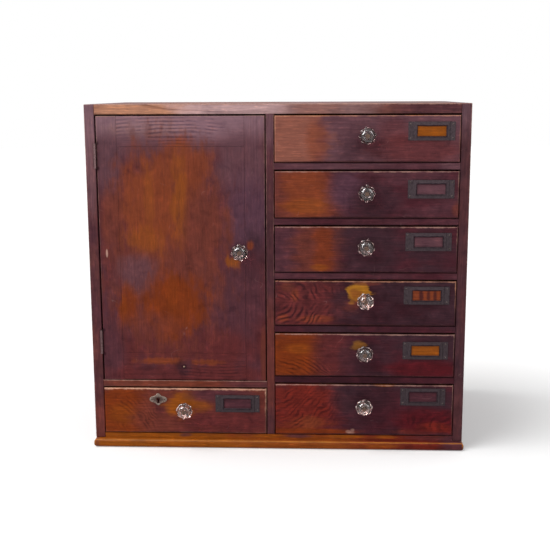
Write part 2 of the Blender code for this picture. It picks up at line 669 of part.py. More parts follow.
def build_drawer(number, carcass, left, right, low, opening):
    """One drawer: front, dovetailed box, bottom, knob and label holder on their own slide."""
    name = "drawer_%d" % number
    slide = pivot(name + "_slide", carcass, ((left + right) / 2, 0, low))
    half = (right - left) / 2 - DRAWER_SIDE_GAP
    face = -FRONT_PROUD
    shoulder = FRONT_THICKNESS - FRONT_PROUD
    tip = shoulder - TAIL_LENGTH
    end = BACK_Y - DRAWER_BACK_ROOM
    head = opening - DRAWER_HEAD_GAP
    box_low = SEAT_GAP
    box_high = head - BOX_HEAD_DROP
    pitch = (box_high - box_low) / TAIL_COUNT
    centres = [box_low + pitch * (tail + 0.5) for tail in range(TAIL_COUNT)]
    inside = half - BOX_THICKNESS
    groove_low = BOTTOM_RISE
    groove_high = BOTTOM_RISE + BOTTOM_THICKNESS + 2 * SEAT_GAP

    # Front: half-blind sockets for the side tails, and a groove for the bottom
    bm = boxes(((-half, face, DRAWER_FOOT_GAP), (half, shoulder, head)))
    round_edges(bm, FRONT_ARRIS, 2, lambda co: near(co.y, face))
    front = piece(name + "_front", bm, slide, "worn_oak")
    sockets = bmesh.new()
    for start, stop in ((-half - 2 * MM, -inside + SEAT_GAP), (inside - SEAT_GAP, half + 2 * MM)):
        for centre in centres:
            wide = tail_half(tip - SEAT_GAP, shoulder, pitch) + SEAT_GAP
            slim = tail_half(shoulder + 2 * MM, shoulder, pitch) + SEAT_GAP
            add_prism(sockets, [
                (tip - SEAT_GAP, centre - wide), (tip - SEAT_GAP, centre + wide),
                (shoulder + 2 * MM, centre + slim), (shoulder + 2 * MM, centre - slim),
            ], "X", start, stop)
    combine(front, sockets, "sockets")
    combine(front, boxes((
        (-inside - GROOVE_DEPTH, shoulder - GROOVE_DEPTH, groove_low),
        (inside + GROOVE_DEPTH, shoulder + 2 * MM, groove_high),
    )), "groove")

    # Box: two sides and the back, with tails cut on the front ends and grooves for the bottom
    outline = [
        (-half, tip), (-inside, tip), (-inside, end - BOX_THICKNESS), (inside, end - BOX_THICKNESS),
        (inside, tip), (half, tip), (half, end), (-half, end),
    ]
    box = piece(name + "_box", prism(outline, "Z", box_low, box_high), slide, "bare_oak")
    pins = bmesh.new()
    foot_edge = shoulder + SEAT_GAP
    past = tip - 2 * MM
    slim = tail_half(foot_edge, shoulder, pitch)
    wide = tail_half(past, shoulder, pitch)
    edges = [(box_low - 5 * MM, box_low - 5 * MM)]
    for centre in centres:
        edges += [(centre - slim, centre - wide), (centre + slim, centre + wide)]
    edges.append((box_high + 5 * MM, box_high + 5 * MM))
    for start, stop in ((-half - 2 * MM, -inside + 2 * MM), (inside - 2 * MM, half + 2 * MM)):
        for (under_root, under_tip), (over_root, over_tip) in zip(edges[::2], edges[1::2]):
            add_prism(pins, [
                (foot_edge, under_root), (foot_edge, over_root), (past, over_tip), (past, under_tip),
            ], "X", start, stop)
    combine(box, pins, "pins")
    combine(box, boxes(
        ((-inside - GROOVE_DEPTH, past, groove_low), (-inside + 2 * MM, end + 5 * MM, groove_high)),
        ((inside - 2 * MM, past, groove_low), (inside + GROOVE_DEPTH, end + 5 * MM, groove_high)),
    ), "grooves")
    combine(box, boxes((
        (-inside, end - BOX_THICKNESS - 2 * MM, -5 * MM), (inside, end + 5 * MM, groove_high),
    )), "under_back")

    # Bottom: slides into the grooves from behind, under the back
    wide = inside + GROOVE_DEPTH - SEAT_GAP
    bm = boxes((
        (-wide, shoulder - GROOVE_DEPTH + SEAT_GAP, groove_low + SEAT_GAP),
        (wide, end, groove_high - SEAT_GAP),
    ))
    piece(name + "_bottom", bm, slide, "bare_oak")

    knob_z = head - KNOB_DROPS[number - 1]
    piece(name + "_knob", knob_mesh(0), slide, "glass", (0, -KNOB_FOOT_Y, knob_z))
    label_x = half - LABEL_INSETS[number - 1]
    label_z = head - LABEL_DROPS[number - 1]
    build_label_holder(name + "_label_holder", slide, (label_x, face - SEAT_GAP, label_z))
    return slide, front


def build_label_holder(name, slide, place):
    """Pressed frame: two flat ears for the pins and a raised rim round the card's window."""
    ear = LABEL_WIDTH / 2
    rim = LABEL_RIM_WIDTH / 2
    proud = LABEL_CARD_GAP + LABEL_SHEET
    slope = proud - LABEL_SHEET
    outline = [
        (-ear, 0), (ear, 0), (ear, -LABEL_SHEET), (rim, -LABEL_SHEET), (rim - slope, -proud),
        (slope - rim, -proud), (-rim, -LABEL_SHEET), (-ear, -LABEL_SHEET),
    ]
    high = LABEL_HEIGHT / 2
    holder = piece(name, prism(outline, "Z", -high, high), slide, "old_steel", place)
    card = rim - slope - LABEL_SHEET
    ledge = (LABEL_HEIGHT - LABEL_WINDOW_HEIGHT) / 4
    slot = boxes(((-card, -LABEL_CARD_GAP, ledge - high), (card, 2 * MM, high + 2 * MM)))
    combine(holder, slot, "card_slot")
    window = boxes((
        (-LABEL_WINDOW_WIDTH / 2, -proud - 2 * MM, -LABEL_WINDOW_HEIGHT / 2),
        (LABEL_WINDOW_WIDTH / 2, -LABEL_CARD_GAP / 2, LABEL_WINDOW_HEIGHT / 2),
    ))
    combine(holder, window, "window")


def build_lock(slide, front, centre_x, opening):
    """Lock let into the back of the left drawer's front, its bolt drawn down flush at rest."""
    x = lock_x() - centre_x
    head = opening - DRAWER_HEAD_GAP
    z = head - KEYHOLE_DROP
    near_y = lock_front_y()
    far_y = near_y + LOCK_DEPTH
    half = LOCK_WIDTH / 2
    low = head - LOCK_HEIGHT
    combine(front, boxes((
        (x - half - SEAT_GAP, near_y - SEAT_GAP, low - SEAT_GAP),
        (x + half + SEAT_GAP, far_y + 2 * MM, head + 2 * MM),
    )), "lock_pocket")
    combine(front, prism(keyhole_outline(x, z), "Y", -FRONT_PROUD - 2 * MM, near_y + 1 * MM), "keyhole")

    case = piece("lock_case", boxes(((x - half, near_y, low), (x + half, far_y, head))), slide, "old_steel")
    y = bolt_y()
    spare = SEAT_GAP
    floor_z = head - BOLT_HEIGHT
    combine(case, boxes((
        (x - BOLT_WIDTH / 2 - spare, y - BOLT_DEPTH / 2 - spare, floor_z - spare),
        (x + BOLT_WIDTH / 2 + spare, y + BOLT_DEPTH / 2 + spare, head + 2 * MM),
    )), "bolt_way")
    combine(case, prism(keyhole_outline(x, z), "Y", near_y - 2 * MM, near_y + 2 * MM), "key_way")
    throw = pivot("lock_bolt_slide", slide, (x, y, floor_z))
    bm = boxes((
        (-BOLT_WIDTH / 2, -BOLT_DEPTH / 2, 0), (BOLT_WIDTH / 2, BOLT_DEPTH / 2, BOLT_HEIGHT - SEAT_GAP),
    ))
    piece("lock_bolt", bm, throw, "old_brass")

    # Escutcheon: a four-lobed plate, its outline an ellipse with a ripple
    tall = ESCUTCHEON_HEIGHT / 2 - ESCUTCHEON_LOBE
    wide = ESCUTCHEON_WIDTH / 2 - ESCUTCHEON_LOBE
    outline = []
    for step in range(48):
        turn = 2 * math.pi * step / 48
        reach = wide * tall / math.hypot(tall * math.cos(turn), wide * math.sin(turn))
        reach += ESCUTCHEON_LOBE * math.cos(4 * turn)
        outline.append((x + reach * math.cos(turn), z + reach * math.sin(turn)))
    near_face = -FRONT_PROUD - SEAT_GAP
    sheet = prism(outline, "Y", near_face - ESCUTCHEON_SHEET, near_face)
    plate = piece("escutcheon", sheet, slide, "old_brass")
    hole = prism(keyhole_outline(x, z), "Y", near_face - 5 * MM, near_face + 5 * MM)
    combine(plate, hole, "keyhole")


def build_drawers(carcass):
    levels = shelf_levels()
    floors = [high for low, high in levels] + [STEP_Z]
    ceilings = [CEILING_Z] + [low for low, high in levels]
    for number, (floor, ceiling) in enumerate(zip(floors, ceilings), start=1):
        build_drawer(number, carcass, DIVIDER_RIGHT, INNER_X, floor, ceiling - floor)
    slide, front = build_drawer(7, carcass, -INNER_X, DIVIDER_LEFT, STEP_Z, LEFT_DRAWER_OPENING)
    build_lock(slide, front, (DIVIDER_LEFT - INNER_X) / 2, LEFT_DRAWER_OPENING)


for old in list(bpy.data.objects):
    bpy.data.objects.remove(old, do_unlink=True)

chest = pivot("carcass", None, (0, FRONT_Y, 0))
build_base(chest)
build_carcass(chest)
build_door(chest)
build_drawers(chest)
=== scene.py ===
import math

import bmesh
import bpy
from mathutils import Matrix, Vector
from mathutils.geometry import interpolate_bezier


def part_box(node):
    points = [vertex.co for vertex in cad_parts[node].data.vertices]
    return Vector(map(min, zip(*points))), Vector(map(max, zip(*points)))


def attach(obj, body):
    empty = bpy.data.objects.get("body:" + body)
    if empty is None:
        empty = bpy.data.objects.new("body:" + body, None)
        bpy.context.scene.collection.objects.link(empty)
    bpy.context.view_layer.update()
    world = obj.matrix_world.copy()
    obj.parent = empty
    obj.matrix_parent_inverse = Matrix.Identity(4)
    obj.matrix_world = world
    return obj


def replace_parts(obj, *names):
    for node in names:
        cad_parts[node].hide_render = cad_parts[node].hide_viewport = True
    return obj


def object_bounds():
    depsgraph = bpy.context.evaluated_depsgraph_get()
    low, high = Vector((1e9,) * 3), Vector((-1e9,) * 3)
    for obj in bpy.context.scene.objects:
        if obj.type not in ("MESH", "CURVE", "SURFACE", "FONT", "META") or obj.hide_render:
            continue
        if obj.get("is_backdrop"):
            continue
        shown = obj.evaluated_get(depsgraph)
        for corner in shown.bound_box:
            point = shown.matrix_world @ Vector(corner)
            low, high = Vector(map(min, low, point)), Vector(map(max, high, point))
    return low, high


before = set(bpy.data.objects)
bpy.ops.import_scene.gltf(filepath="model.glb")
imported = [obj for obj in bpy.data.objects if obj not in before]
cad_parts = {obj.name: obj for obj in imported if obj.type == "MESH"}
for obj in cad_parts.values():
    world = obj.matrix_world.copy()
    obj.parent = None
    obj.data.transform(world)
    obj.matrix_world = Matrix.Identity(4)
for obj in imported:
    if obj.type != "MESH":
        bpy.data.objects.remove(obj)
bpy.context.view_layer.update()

MM = 0.001

# Base board
# One thick oak board with its nose rounded on the front and both ends, and a step left standing between the
# sides. It took the same dark stain as the rest, and handling has worn the nose down to amber.

amber = (0.31, 0.08, 0.004)
burnt = (0.22, 0.045, 0.015)
plum = (0.086, 0.026, 0.036)
ember = (0.155, 0.015, 0.008)
# The next tone is that of rubbed arrises, lightened further by a painted highlight.
pale_rub_and_highlight = (0.44, 0.245, 0.195)
raw_oak = (0.335, 0.166, 0.07)
raw_shade = (0.215, 0.099, 0.043)


def feed(tree, sockets, values):
    """Link outputs into the named sockets, or set the sockets' own values."""
    for name, value in values.items():
        socket = sockets[name]
        if isinstance(value, bpy.types.NodeSocket):
            tree.links.new(value, socket)
        elif socket.type == "RGBA":
            socket.default_value = (*value[:3], 1.0)
        else:
            socket.default_value = value


def put(tree, kind, feeds, **settings):
    """Add a node with its settings, and feed its inputs."""
    made = tree.nodes.new(kind)
    for name, value in settings.items():
        setattr(made, name, value)
    feed(tree, made.inputs, feeds)
    return made


def maths(tree, operation, *values):
    return put(tree, "ShaderNodeMath", dict(enumerate(values)), operation=operation).outputs[0]


def times(tree, first, second):
    return maths(tree, "MULTIPLY", first, second)


def scaled(tree, value, gain, start):
    return maths(tree, "MULTIPLY_ADD", value, gain, start)


def vectors(tree, operation, *values):
    made = put(tree, "ShaderNodeVectorMath", dict(enumerate(values)), operation=operation)
    return made.outputs["Value" if operation == "LENGTH" else "Vector"]


def drawn_out(tree, vector, share):
    """Stretch a pattern along X."""
    return vectors(tree, "MULTIPLY", vector, (share, 1.0, 1.0))


def split(tree, vector):
    return put(tree, "ShaderNodeSeparateXYZ", {"Vector": vector}).outputs


def join(tree, values):
    return put(tree, "ShaderNodeCombineXYZ", values).outputs["Vector"]


def mix(tree, share, first, second, blend="MIX"):
    """Lay the second colour over the first."""
    feeds = {0: share, 6: first, 7: second}
    return put(tree, "ShaderNodeMix", feeds, data_type="RGBA", blend_type=blend).outputs[2]


def tint(tree, share, colour, tone):
    return mix(tree, share, colour, tone, "MULTIPLY")


def slope(tree, value, low, high, start=0.0, end=1.0):
    """Ease from start at low to end at high."""
    feeds = {"Value": value, "From Min": low, "From Max": high, "To Min": start, "To Max": end}
    return put(tree, "ShaderNodeMapRange", feeds, interpolation_type="SMOOTHSTEP").outputs["Result"]


def noise(tree, vector, scale, detail=3.0, roughness=0.55, distortion=0.0):
    feeds = {"Vector": vector, "Scale": scale, "Detail": detail, "Roughness": roughness}
    return put(tree, "ShaderNodeTexNoise", {**feeds, "Distortion": distortion}).outputs["Fac"]


def swing(tree, *cloud):
    """Noise that swings about zero."""
    return maths(tree, "SUBTRACT", noise(tree, *cloud), 0.5)


ring_period = 0.314


def rings(tree, axis, vector, scale, distortion, fineness, profile="SIN"):
    """Rings round an axis that waver as a tree's do, a ring_period apart at a scale of 1."""
    feeds = {
        "Vector": vector, "Scale": scale, "Distortion": distortion, "Detail": 3.0, "Detail Scale": fineness,
        "Detail Roughness": 0.6,
    }
    settings = {"wave_type": "RINGS", "rings_direction": axis, "wave_profile": profile}
    return put(tree, "ShaderNodeTexWave", feeds, **settings).outputs["Fac"]


def begin_group(name, takes, gives):
    """Start a shader node group from its sockets of each kind; returns its tree, what it takes and gives."""
    tree = bpy.data.node_groups.new(name, "ShaderNodeTree")
    for way, kinds in (("INPUT", takes), ("OUTPUT", gives)):
        for kind, labels in kinds.items():
            for label in labels.split():
                tree.interface.new_socket(label, in_out=way, socket_type="NodeSocket" + kind)
    return tree, tree.nodes.new("NodeGroupInput").outputs, tree.nodes.new("NodeGroupOutput").inputs


def use(tree, group, feeds):
    return put(tree, "ShaderNodeGroup", feeds, node_tree=bpy.data.node_groups[group]).outputs


# Oak: X runs along the grain, Y across the face and Z into the board, in metres from the tree's heart
tree, takes, gives = begin_group("oak_grain", {"Vector": "Vector"}, {"Float": "Fibre Rings Pores Flecks"})
run = takes["Vector"]
bowed = drawn_out(tree, run, 0.13)
years = noise(tree, bowed, 14.0, 3.0, 0.5)
grown = join(tree, {"Y": scaled(tree, years, 0.07, -0.035), "Z": scaled(tree, years, -0.05, 0.025)})
year = rings(tree, "X", vectors(tree, "ADD", bowed, grown), 42.0, 6.0, 0.55, "SAW")
early = slope(tree, year, 0.5, 0.95)
late = slope(tree, year, 0.95, 1.0, 1.0, 0.0)
rich = slope(tree, noise(tree, drawn_out(tree, run, 0.06), 36.0), 0.36, 0.66, 0.1, 1.0)
band = times(tree, times(tree, early, late), rich)
fibre = noise(tree, drawn_out(tree, run, 0.05), 430.0, 4.0, 0.6)
threads = noise(tree, drawn_out(tree, run, 0.04), 1150.0, 2.0, 0.5)
rays = noise(tree, bowed, 520.0, 2.0, 0.5, 0.3)
feed(tree, gives, {
    "Fibre": slope(tree, fibre, 0.3, 0.7),
    "Rings": band,
    "Pores": times(tree, slope(tree, threads, 0.57, 0.68), slope(tree, band, 0.0, 0.7, 0.35, 1.0)),
    "Flecks": slope(tree, rays, 0.56, 0.7),
})

# Worn patch: a ragged island where the stain is thinner, thicker or gone
tree, takes, gives = begin_group(
    "worn_patch", {"Vector": "Vector Centre Reach", "Float": "Soft Ragged Tear Strength"}, {"Float": "Mask"},
)
away = vectors(tree, "DIVIDE", vectors(tree, "SUBTRACT", takes["Vector"], takes["Centre"]), takes["Reach"])
far = scaled(tree, takes["Tear"], takes["Ragged"], vectors(tree, "LENGTH", away))
inner = maths(tree, "SUBTRACT", 1.0, takes["Soft"])
outer = maths(tree, "ADD", 1.0, takes["Soft"])
feed(tree, gives, {"Mask": slope(tree, far, inner, outer, takes["Strength"], 0.0)})


def depth_inside(tree, takes):
    """How far a point lies inside the box from Low to High, along each axis."""
    least = vectors(tree, "SUBTRACT", takes["Vector"], takes["Low"])
    most = vectors(tree, "SUBTRACT", takes["High"], takes["Vector"])
    return split(tree, vectors(tree, "MINIMUM", least, most))


# Edge rub and highlight: finish rubbed off along the arrises of a board that fills the box from Low to High,
# with a painted highlight that grows towards the top of the box
tree, takes, gives = begin_group(
    "edge_rub_and_highlight", {"Vector": "Vector Low High", "Float": "Width"}, {"Float": "Mask"},
)
place = takes["Vector"]
depth = depth_inside(tree, takes)
least = maths(tree, "MINIMUM", depth["X"], depth["Y"])
most = maths(tree, "MAXIMUM", depth["X"], depth["Y"])
arris = maths(tree, "MAXIMUM", least, maths(tree, "MINIMUM", most, depth["Z"]))
chips = slope(tree, noise(tree, place, 120.0, 4.0, 0.65), 0.32, 0.72, 0.6, 1.6)
pale_edge = slope(tree, arris, 0.0, times(tree, takes["Width"], chips), 1.0, 0.0)
spells = slope(tree, noise(tree, place, 17.0, 2.0), 0.36, 0.6, 0.75, 1.0)
above = vectors(tree, "SUBTRACT", place, takes["Low"])
height = vectors(tree, "DIVIDE", above, vectors(tree, "SUBTRACT", takes["High"], takes["Low"]))
# Painted highlight: the pale edge is faint low on the board and full near its top, as if lit from above
lit_from_above = slope(tree, split(tree, height)["Z"], 0.2, 0.96, 0.1, 1.0)
feed(tree, gives, {"Mask": times(tree, pale_edge, times(tree, spells, lit_from_above))})

# Unstained: the faces inside the box from Low to High never took the finish
tree, takes, gives = begin_group(
    "unstained", {"Vector": "Vector Low High", "Float": "Tear"}, {"Float": "Mask"},
)
depth = depth_inside(tree, takes)
least = maths(tree, "MINIMUM", maths(tree, "MINIMUM", depth["X"], depth["Y"]), depth["Z"])
torn = scaled(tree, takes["Tear"], 0.008, least)
feed(tree, gives, {"Mask": slope(tree, torn, 0.0, 0.0025)})

# Old finish: grain seen through the stain, with pores, fine scuffs and a dulling of the gloss. The stain has
# gone cloudy, most of all where it is dark.
tree, takes, gives = begin_group("old_finish", {
    "Vector": "Vector", "Color": "Color", "Float": "Fibre Rings Pores Flecks Figure Grain Gloss",
}, {"Color": "Color", "Float": "Roughness Relief"})
place = takes["Vector"]
coarse = times(tree, takes["Grain"], 1.6)
mottle = noise(tree, place, 55.0, 4.0, 0.6, 0.4)
paleness = put(tree, "ShaderNodeRGBToBW", {"Color": takes["Color"]}).outputs["Val"]
cloudy = slope(tree, paleness, 0.03, 0.10, 0.85, 0.36)
colour = takes["Color"]
for shown, weight, tone in (
    (takes["Rings"], takes["Figure"], (0.40, 0.34, 0.36)),
    (slope(tree, takes["Fibre"], 0.55, 0.05), takes["Grain"], (0.46, 0.40, 0.42)),
    (slope(tree, takes["Fibre"], 0.5, 1.0), takes["Grain"], (1.7, 1.65, 1.6)),
    (takes["Pores"], coarse, (0.34, 0.27, 0.29)),
    (takes["Flecks"], coarse, (1.9, 1.7, 1.45)),
    (slope(tree, mottle, 0.5, 0.3), cloudy, (0.66, 0.62, 0.68)),
    (slope(tree, mottle, 0.5, 0.7), cloudy, (1.4, 1.36, 1.3)),
):
    colour = tint(tree, times(tree, shown, weight), colour, tone)
loops = maths(tree, "ABSOLUTE", swing(tree, place, 21.0, 1.0, 0.4, 0.6))
spells = slope(tree, noise(tree, place, 43.0, 2.0), 0.57, 0.68)
scuffs = times(tree, slope(tree, loops, 0.0, 0.0045, 1.0, 0.0), spells)
clouds = slope(tree, noise(tree, place, 34.0, 4.0), 0.3, 0.7, -0.03, 0.05)
feed(tree, gives, {
    "Color": mix(tree, times(tree, scuffs, 0.3), colour, (0.34, 0.2, 0.19)),
    "Roughness": maths(tree, "ADD", takes["Gloss"], scaled(tree, takes["Pores"], 0.2, clouds)),
    "Relief": maths(tree, "SUBTRACT", times(tree, takes["Fibre"], 0.35), takes["Pores"]),
})


def begin_material(name):
    """Start a material; returns it, its tree, its shader's inputs and the place on the object."""
    made = bpy.data.materials.new(name)
    made.use_nodes = True
    tree = made.node_tree
    place = put(tree, "ShaderNodeTexCoord", {}).outputs["Object"]
    return made, tree, tree.nodes["Principled BSDF"].inputs, place


def relief(tree, height, strength, depth):
    feeds = {"Height": height, "Strength": strength, "Distance": depth * MM}
    return put(tree, "ShaderNodeBump", feeds).outputs["Normal"]


endless = 9.0


def stained_oak(
    node, order, heart, ground, patches=(), on="xz", rub=1.5, edge_tone=pale_rub_and_highlight, rub_box=None, bare=None,
    lean=(0.0, 0.0), figure=0.3, fibres=0.25, gloss=0.43, crossed=None, streak=None, flames=(),
):
    """Dress a CAD board in stained oak.

    order names the axes along the grain, across the face and into the board. heart is how far the tree's
    heart lies from the board's middle, across and into it, and lean tilts it so that its rings run out in
    arches; figure and fibres say how dark its rings are and how strong its fine grain. ground is the two
    tones of the stain. A patch is a tone, its place and reach on the two axes in millimetres, and its
    strength, which may be followed by its softness and raggedness. rub is how wide the pale edge is along
    the arrises, which is rubbed wear with a painted highlight that grows towards the top, and the edge tone
    is its colour; rub_box is the box whose arrises take it, where it isn't the board. bare is the box that
    took no stain, crossed the plane past which the grain changes order, and streak the axis that the wear is
    drawn out along, where it isn't the grain's.
    flames are patches of dark figure that curls round a focus: its place, how flat its rings are, the
    spacing and curl of the lines, and the patch that shows them.
    """
    low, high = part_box(node)
    made, tree, shader, place = begin_material(node + "_oak")
    axes = split(tree, place)

    def along(letters):
        run = join(tree, {number: axes[letter.upper()] for number, letter in enumerate(letters)})
        middle = (low + high) / 2
        start = Vector([getattr(middle, letter) for letter in letters])
        start += Vector((0.0, heart[0] * MM, heart[1] * MM))
        feeds = {"Vector": run, "Location": start, "Rotation": (0.0, *lean)}
        return put(tree, "ShaderNodeMapping", feeds, vector_type="TEXTURE").outputs["Vector"]

    run = along(order)
    if crossed:
        letter, plane, second = crossed
        beyond = maths(tree, "GREATER_THAN", axes[letter.upper()], plane)
        run = put(tree, "ShaderNodeMix", {0: beyond, 4: run, 5: along(second)}, data_type="VECTOR").outputs[1]
    grain = use(tree, "oak_grain", {"Vector": run})
    stretch = [0.4 if axis == (streak or order[0]) else 1.0 for axis in "xyz"]
    drawn = vectors(tree, "MULTIPLY", place, stretch)
    tear = swing(tree, drawn, 75.0, 5.0, 0.62)
    colour = mix(tree, slope(tree, noise(tree, drawn, 24.0, 4.0, 0.6), 0.35, 0.65), *ground)

    def island(where, strength, soft, ragged):
        centre = Vector((0.0, 0.0, 0.0))
        reach = Vector((endless, endless, endless))
        for axis, middle, size in zip(on, where[:2], where[2:]):
            setattr(centre, axis, middle * MM)
            setattr(reach, axis, size * MM)
        return use(tree, "worn_patch", {
            "Vector": place, "Centre": centre, "Reach": reach, "Soft": soft, "Ragged": ragged, "Tear": tear,
            "Strength": strength,
        })["Mask"]

    for tone, *where in patches:
        strength, soft, ragged = (*where[4:], 0.45, 1.0)[:3]
        spans = [size * (1 + soft + 0.3 * ragged) * MM for size in where[2:4]]
        if all(
            getattr(low, axis) - span < middle * MM < getattr(high, axis) + span
            for axis, middle, span in zip(on, where, spans)
        ):
            colour = mix(tree, island(where[:4], strength, soft, ragged), colour, tone)
    for focus_x, focus_z, flat, spacing, curl, *where in flames:
        sway = scaled(tree, noise(tree, place, 26.0, 2.0), 0.05, -0.025)
        aside = vectors(tree, "SUBTRACT", place, (focus_x * MM, 0.0, focus_z * MM))
        aside = drawn_out(tree, vectors(tree, "ADD", aside, join(tree, {"X": sway})), flat)
        licks = rings(tree, "Y", aside, ring_period / (spacing * MM), curl, 0.8)
        broken = slope(tree, noise(tree, place, 48.0, 4.0), 0.4, 0.62, 0.08, 1.0)
        shown = times(tree, broken, island(where[:4], where[4], 0.4, 1.4))
        colour = tint(tree, times(tree, slope(tree, licks, 0.45, 0.95), shown), colour, (0.30, 0.26, 0.42))
        colour = tint(tree, times(tree, slope(tree, licks, 0.5, 0.15), shown), colour, (1.45, 1.35, 1.2))
    # The pale edge is partly rubbed wear and partly a painted highlight, strongest on the upper arrises.
    if rub:
        least, most = rub_box or (low, high)
        pale_edge = use(tree, "edge_rub_and_highlight", {"Vector": place, "Low": least, "High": most, "Width": rub * MM})["Mask"]
        colour = mix(tree, pale_edge, colour, edge_tone)
    if bare:
        raw = use(tree, "unstained", {"Vector": place, "Low": bare[0], "High": bare[1], "Tear": tear})["Mask"]
        colour = mix(tree, raw, colour, mix(tree, noise(tree, run, 20.0), raw_shade, raw_oak))
        gloss = scaled(tree, raw, 0.25, gloss)
        figure = scaled(tree, raw, 0.4, figure)
        fibres = scaled(tree, raw, 0.12, fibres)
    finish = use(tree, "old_finish", {
        "Vector": place, "Color": colour, "Figure": figure, "Grain": fibres, "Gloss": gloss,
        **{name: grain[name] for name in ("Fibre", "Rings", "Pores", "Flecks")},
    })
    feed(tree, shader, {
        "Base Color": finish["Color"], "Roughness": finish["Roughness"], "Specular IOR Level": 0.06,
        "Normal": relief(tree, finish["Relief"], 0.35, 0.35),
    })
    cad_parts[node].material_slots[0].material = made
    return made


nose = (Vector((-0.2922, -0.1667, 0.0)), Vector((0.2922, 0.1685, 0.0122)))
behind_step = ((-0.3, -0.146, 0.0218), (0.3, 0.2, 0.03))
stained_oak(
    "base_board", "xyz", (30, -70), (burnt, ember), lean=(0.03, 0.0), rub=1.1, rub_box=nose,
    edge_tone=(0.42, 0.15, 0.02), bare=behind_step,
    patches=[
        (amber, -190, 8, 130, 30, 0.95), (amber, 20, 6, 130, 20, 0.6), (ember, 200, 8, 80, 20, 0.75),
        (amber, 165, 7, 30, 4, 0.5, 0.6, 2.4), (plum, 282, 8, 24, 30, 0.85), (plum, -292, 10, 6, 30, 0.4),
        (amber, -190, 19, 70, 4, 0.7, 0.5, 2.4), (amber, -20, 20, 26, 4, 0.8, 0.5, 2.0),
        (plum, 30, 20, 20, 3, 0.75, 0.5, 2.0), (amber, 112, 20, 28, 3, 0.8, 0.5, 2.4),
        (amber, 168, 20, 20, 3, 0.7, 0.5, 2.4), (plum, -148, 20, 9, 3, 0.7, 0.5, 2.4),
        (plum, 250, 19, 40, 5, 0.5, 0.5, 2.0),
    ],
)

# Carcass sides
# Two oak boards as deep as the chest, the grain upright, standing on the base board. Inside they are left
# unstained and housed for the boards between them. Near the top a grey painted sheen stands for light
# reflected off the finish.

painted_sheen = (0.26, 0.14, 0.17)
dusk = (0.045, 0.016, 0.024)
russet = (0.155, 0.034, 0.022)

# The arrises that a neighbour covers aren't rubbed, so the box of a rub reaches past them
past = Vector((10 * MM, 0.0, 0.0))
low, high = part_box("left_side")
stained_oak(
    "left_side", "zyx", (60, 70), (plum, (0.125, 0.038, 0.036)), lean=(0.02, 0.03), on="yz",
    rub_box=(low, high + past), bare=((-0.2788, -0.154, 0.0), (0.0, 0.2, 0.5275)),
    patches=[
        (painted_sheen, -40, 530, 260, 70, 0.5), (burnt, 20, 210, 60, 150, 0.55), (amber, 30, 190, 25, 70, 0.5),
        (russet, -90, 330, 40, 120, 0.5), (dusk, 120, 120, 50, 120, 0.6), (burnt, -150, 40, 25, 40, 0.4),
        (painted_sheen, -161, 480, 9, 90, 0.35),
    ],
)
low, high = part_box("right_side")
stained_oak(
    "right_side", "zyx", (-40, -80), ((0.058, 0.023, 0.031), (0.085, 0.026, 0.029)), lean=(-0.025, 0.02),
    on="yz", rub_box=(low - past, high), bare=((0.0, -0.154, 0.0), (0.2788, 0.2, 0.5275)),
    patches=[
        (painted_sheen, 30, 535, 250, 50, 0.35), (burnt, -20, 270, 55, 130, 0.5), (russet, 70, 160, 45, 130, 0.55),
        (amber, -30, 300, 20, 60, 0.4), (dusk, -120, 200, 40, 160, 0.5),
    ],
)

# Top board
# It lies between the sides on stopped tongues, its front edge flush with them and with the door. The edge has
# been rubbed pale by hands and dusters, and a painted highlight lies over the wear, most of all towards the
# left.

orange_rub_and_highlight = (0.54, 0.25, 0.15)
chalk_rub_and_highlight = (0.60, 0.385, 0.385)

stained_oak(
    "top_board", "xyz", (40, -60), ((0.13, 0.045, 0.04), (0.17, 0.062, 0.05)), lean=(0.025, 0.015), rub=2.2,
    on="xy", figure=0.65, bare=((-0.3, -0.154, 0.5), (0.3, 0.2, 0.5278)),
    patches=[
        (burnt, -110, -20, 130, 90, 0.7), (amber, -150, -30, 60, 45, 0.5), (russet, 140, 30, 120, 90, 0.5),
        (dusk, 200, -60, 50, 60, 0.6), (plum, 20, 110, 240, 40, 0.6), (painted_sheen, 60, -60, 60, 40, 0.3),
        (orange_rub_and_highlight, -205, -162, 78, 9, 0.95, 0.3, 1.0), (chalk_rub_and_highlight, -70, -162, 80, 9, 0.84, 0.35, 1.0),
        (chalk_rub_and_highlight, 60, -162, 80, 9, 0.28, 0.4, 1.0), (plum, 245, -162, 60, 9, 0.75, 0.4, 1.0),
        (amber, 60, -162, 34, 9, 0.2, 0.5, 2.4),
    ],
)

# Centre divider, dust boards and cupboard floor
# Thin oak boards let into stopped housings. Only their front edges were stained, flush with the sides; behind
# the drawers and inside the cupboard they stay raw.

mauve = (0.128, 0.052, 0.066)
garnet = (0.082, 0.005, 0.009)
damson = (0.060, 0.011, 0.018)
ink = (0.034, 0.007, 0.012)

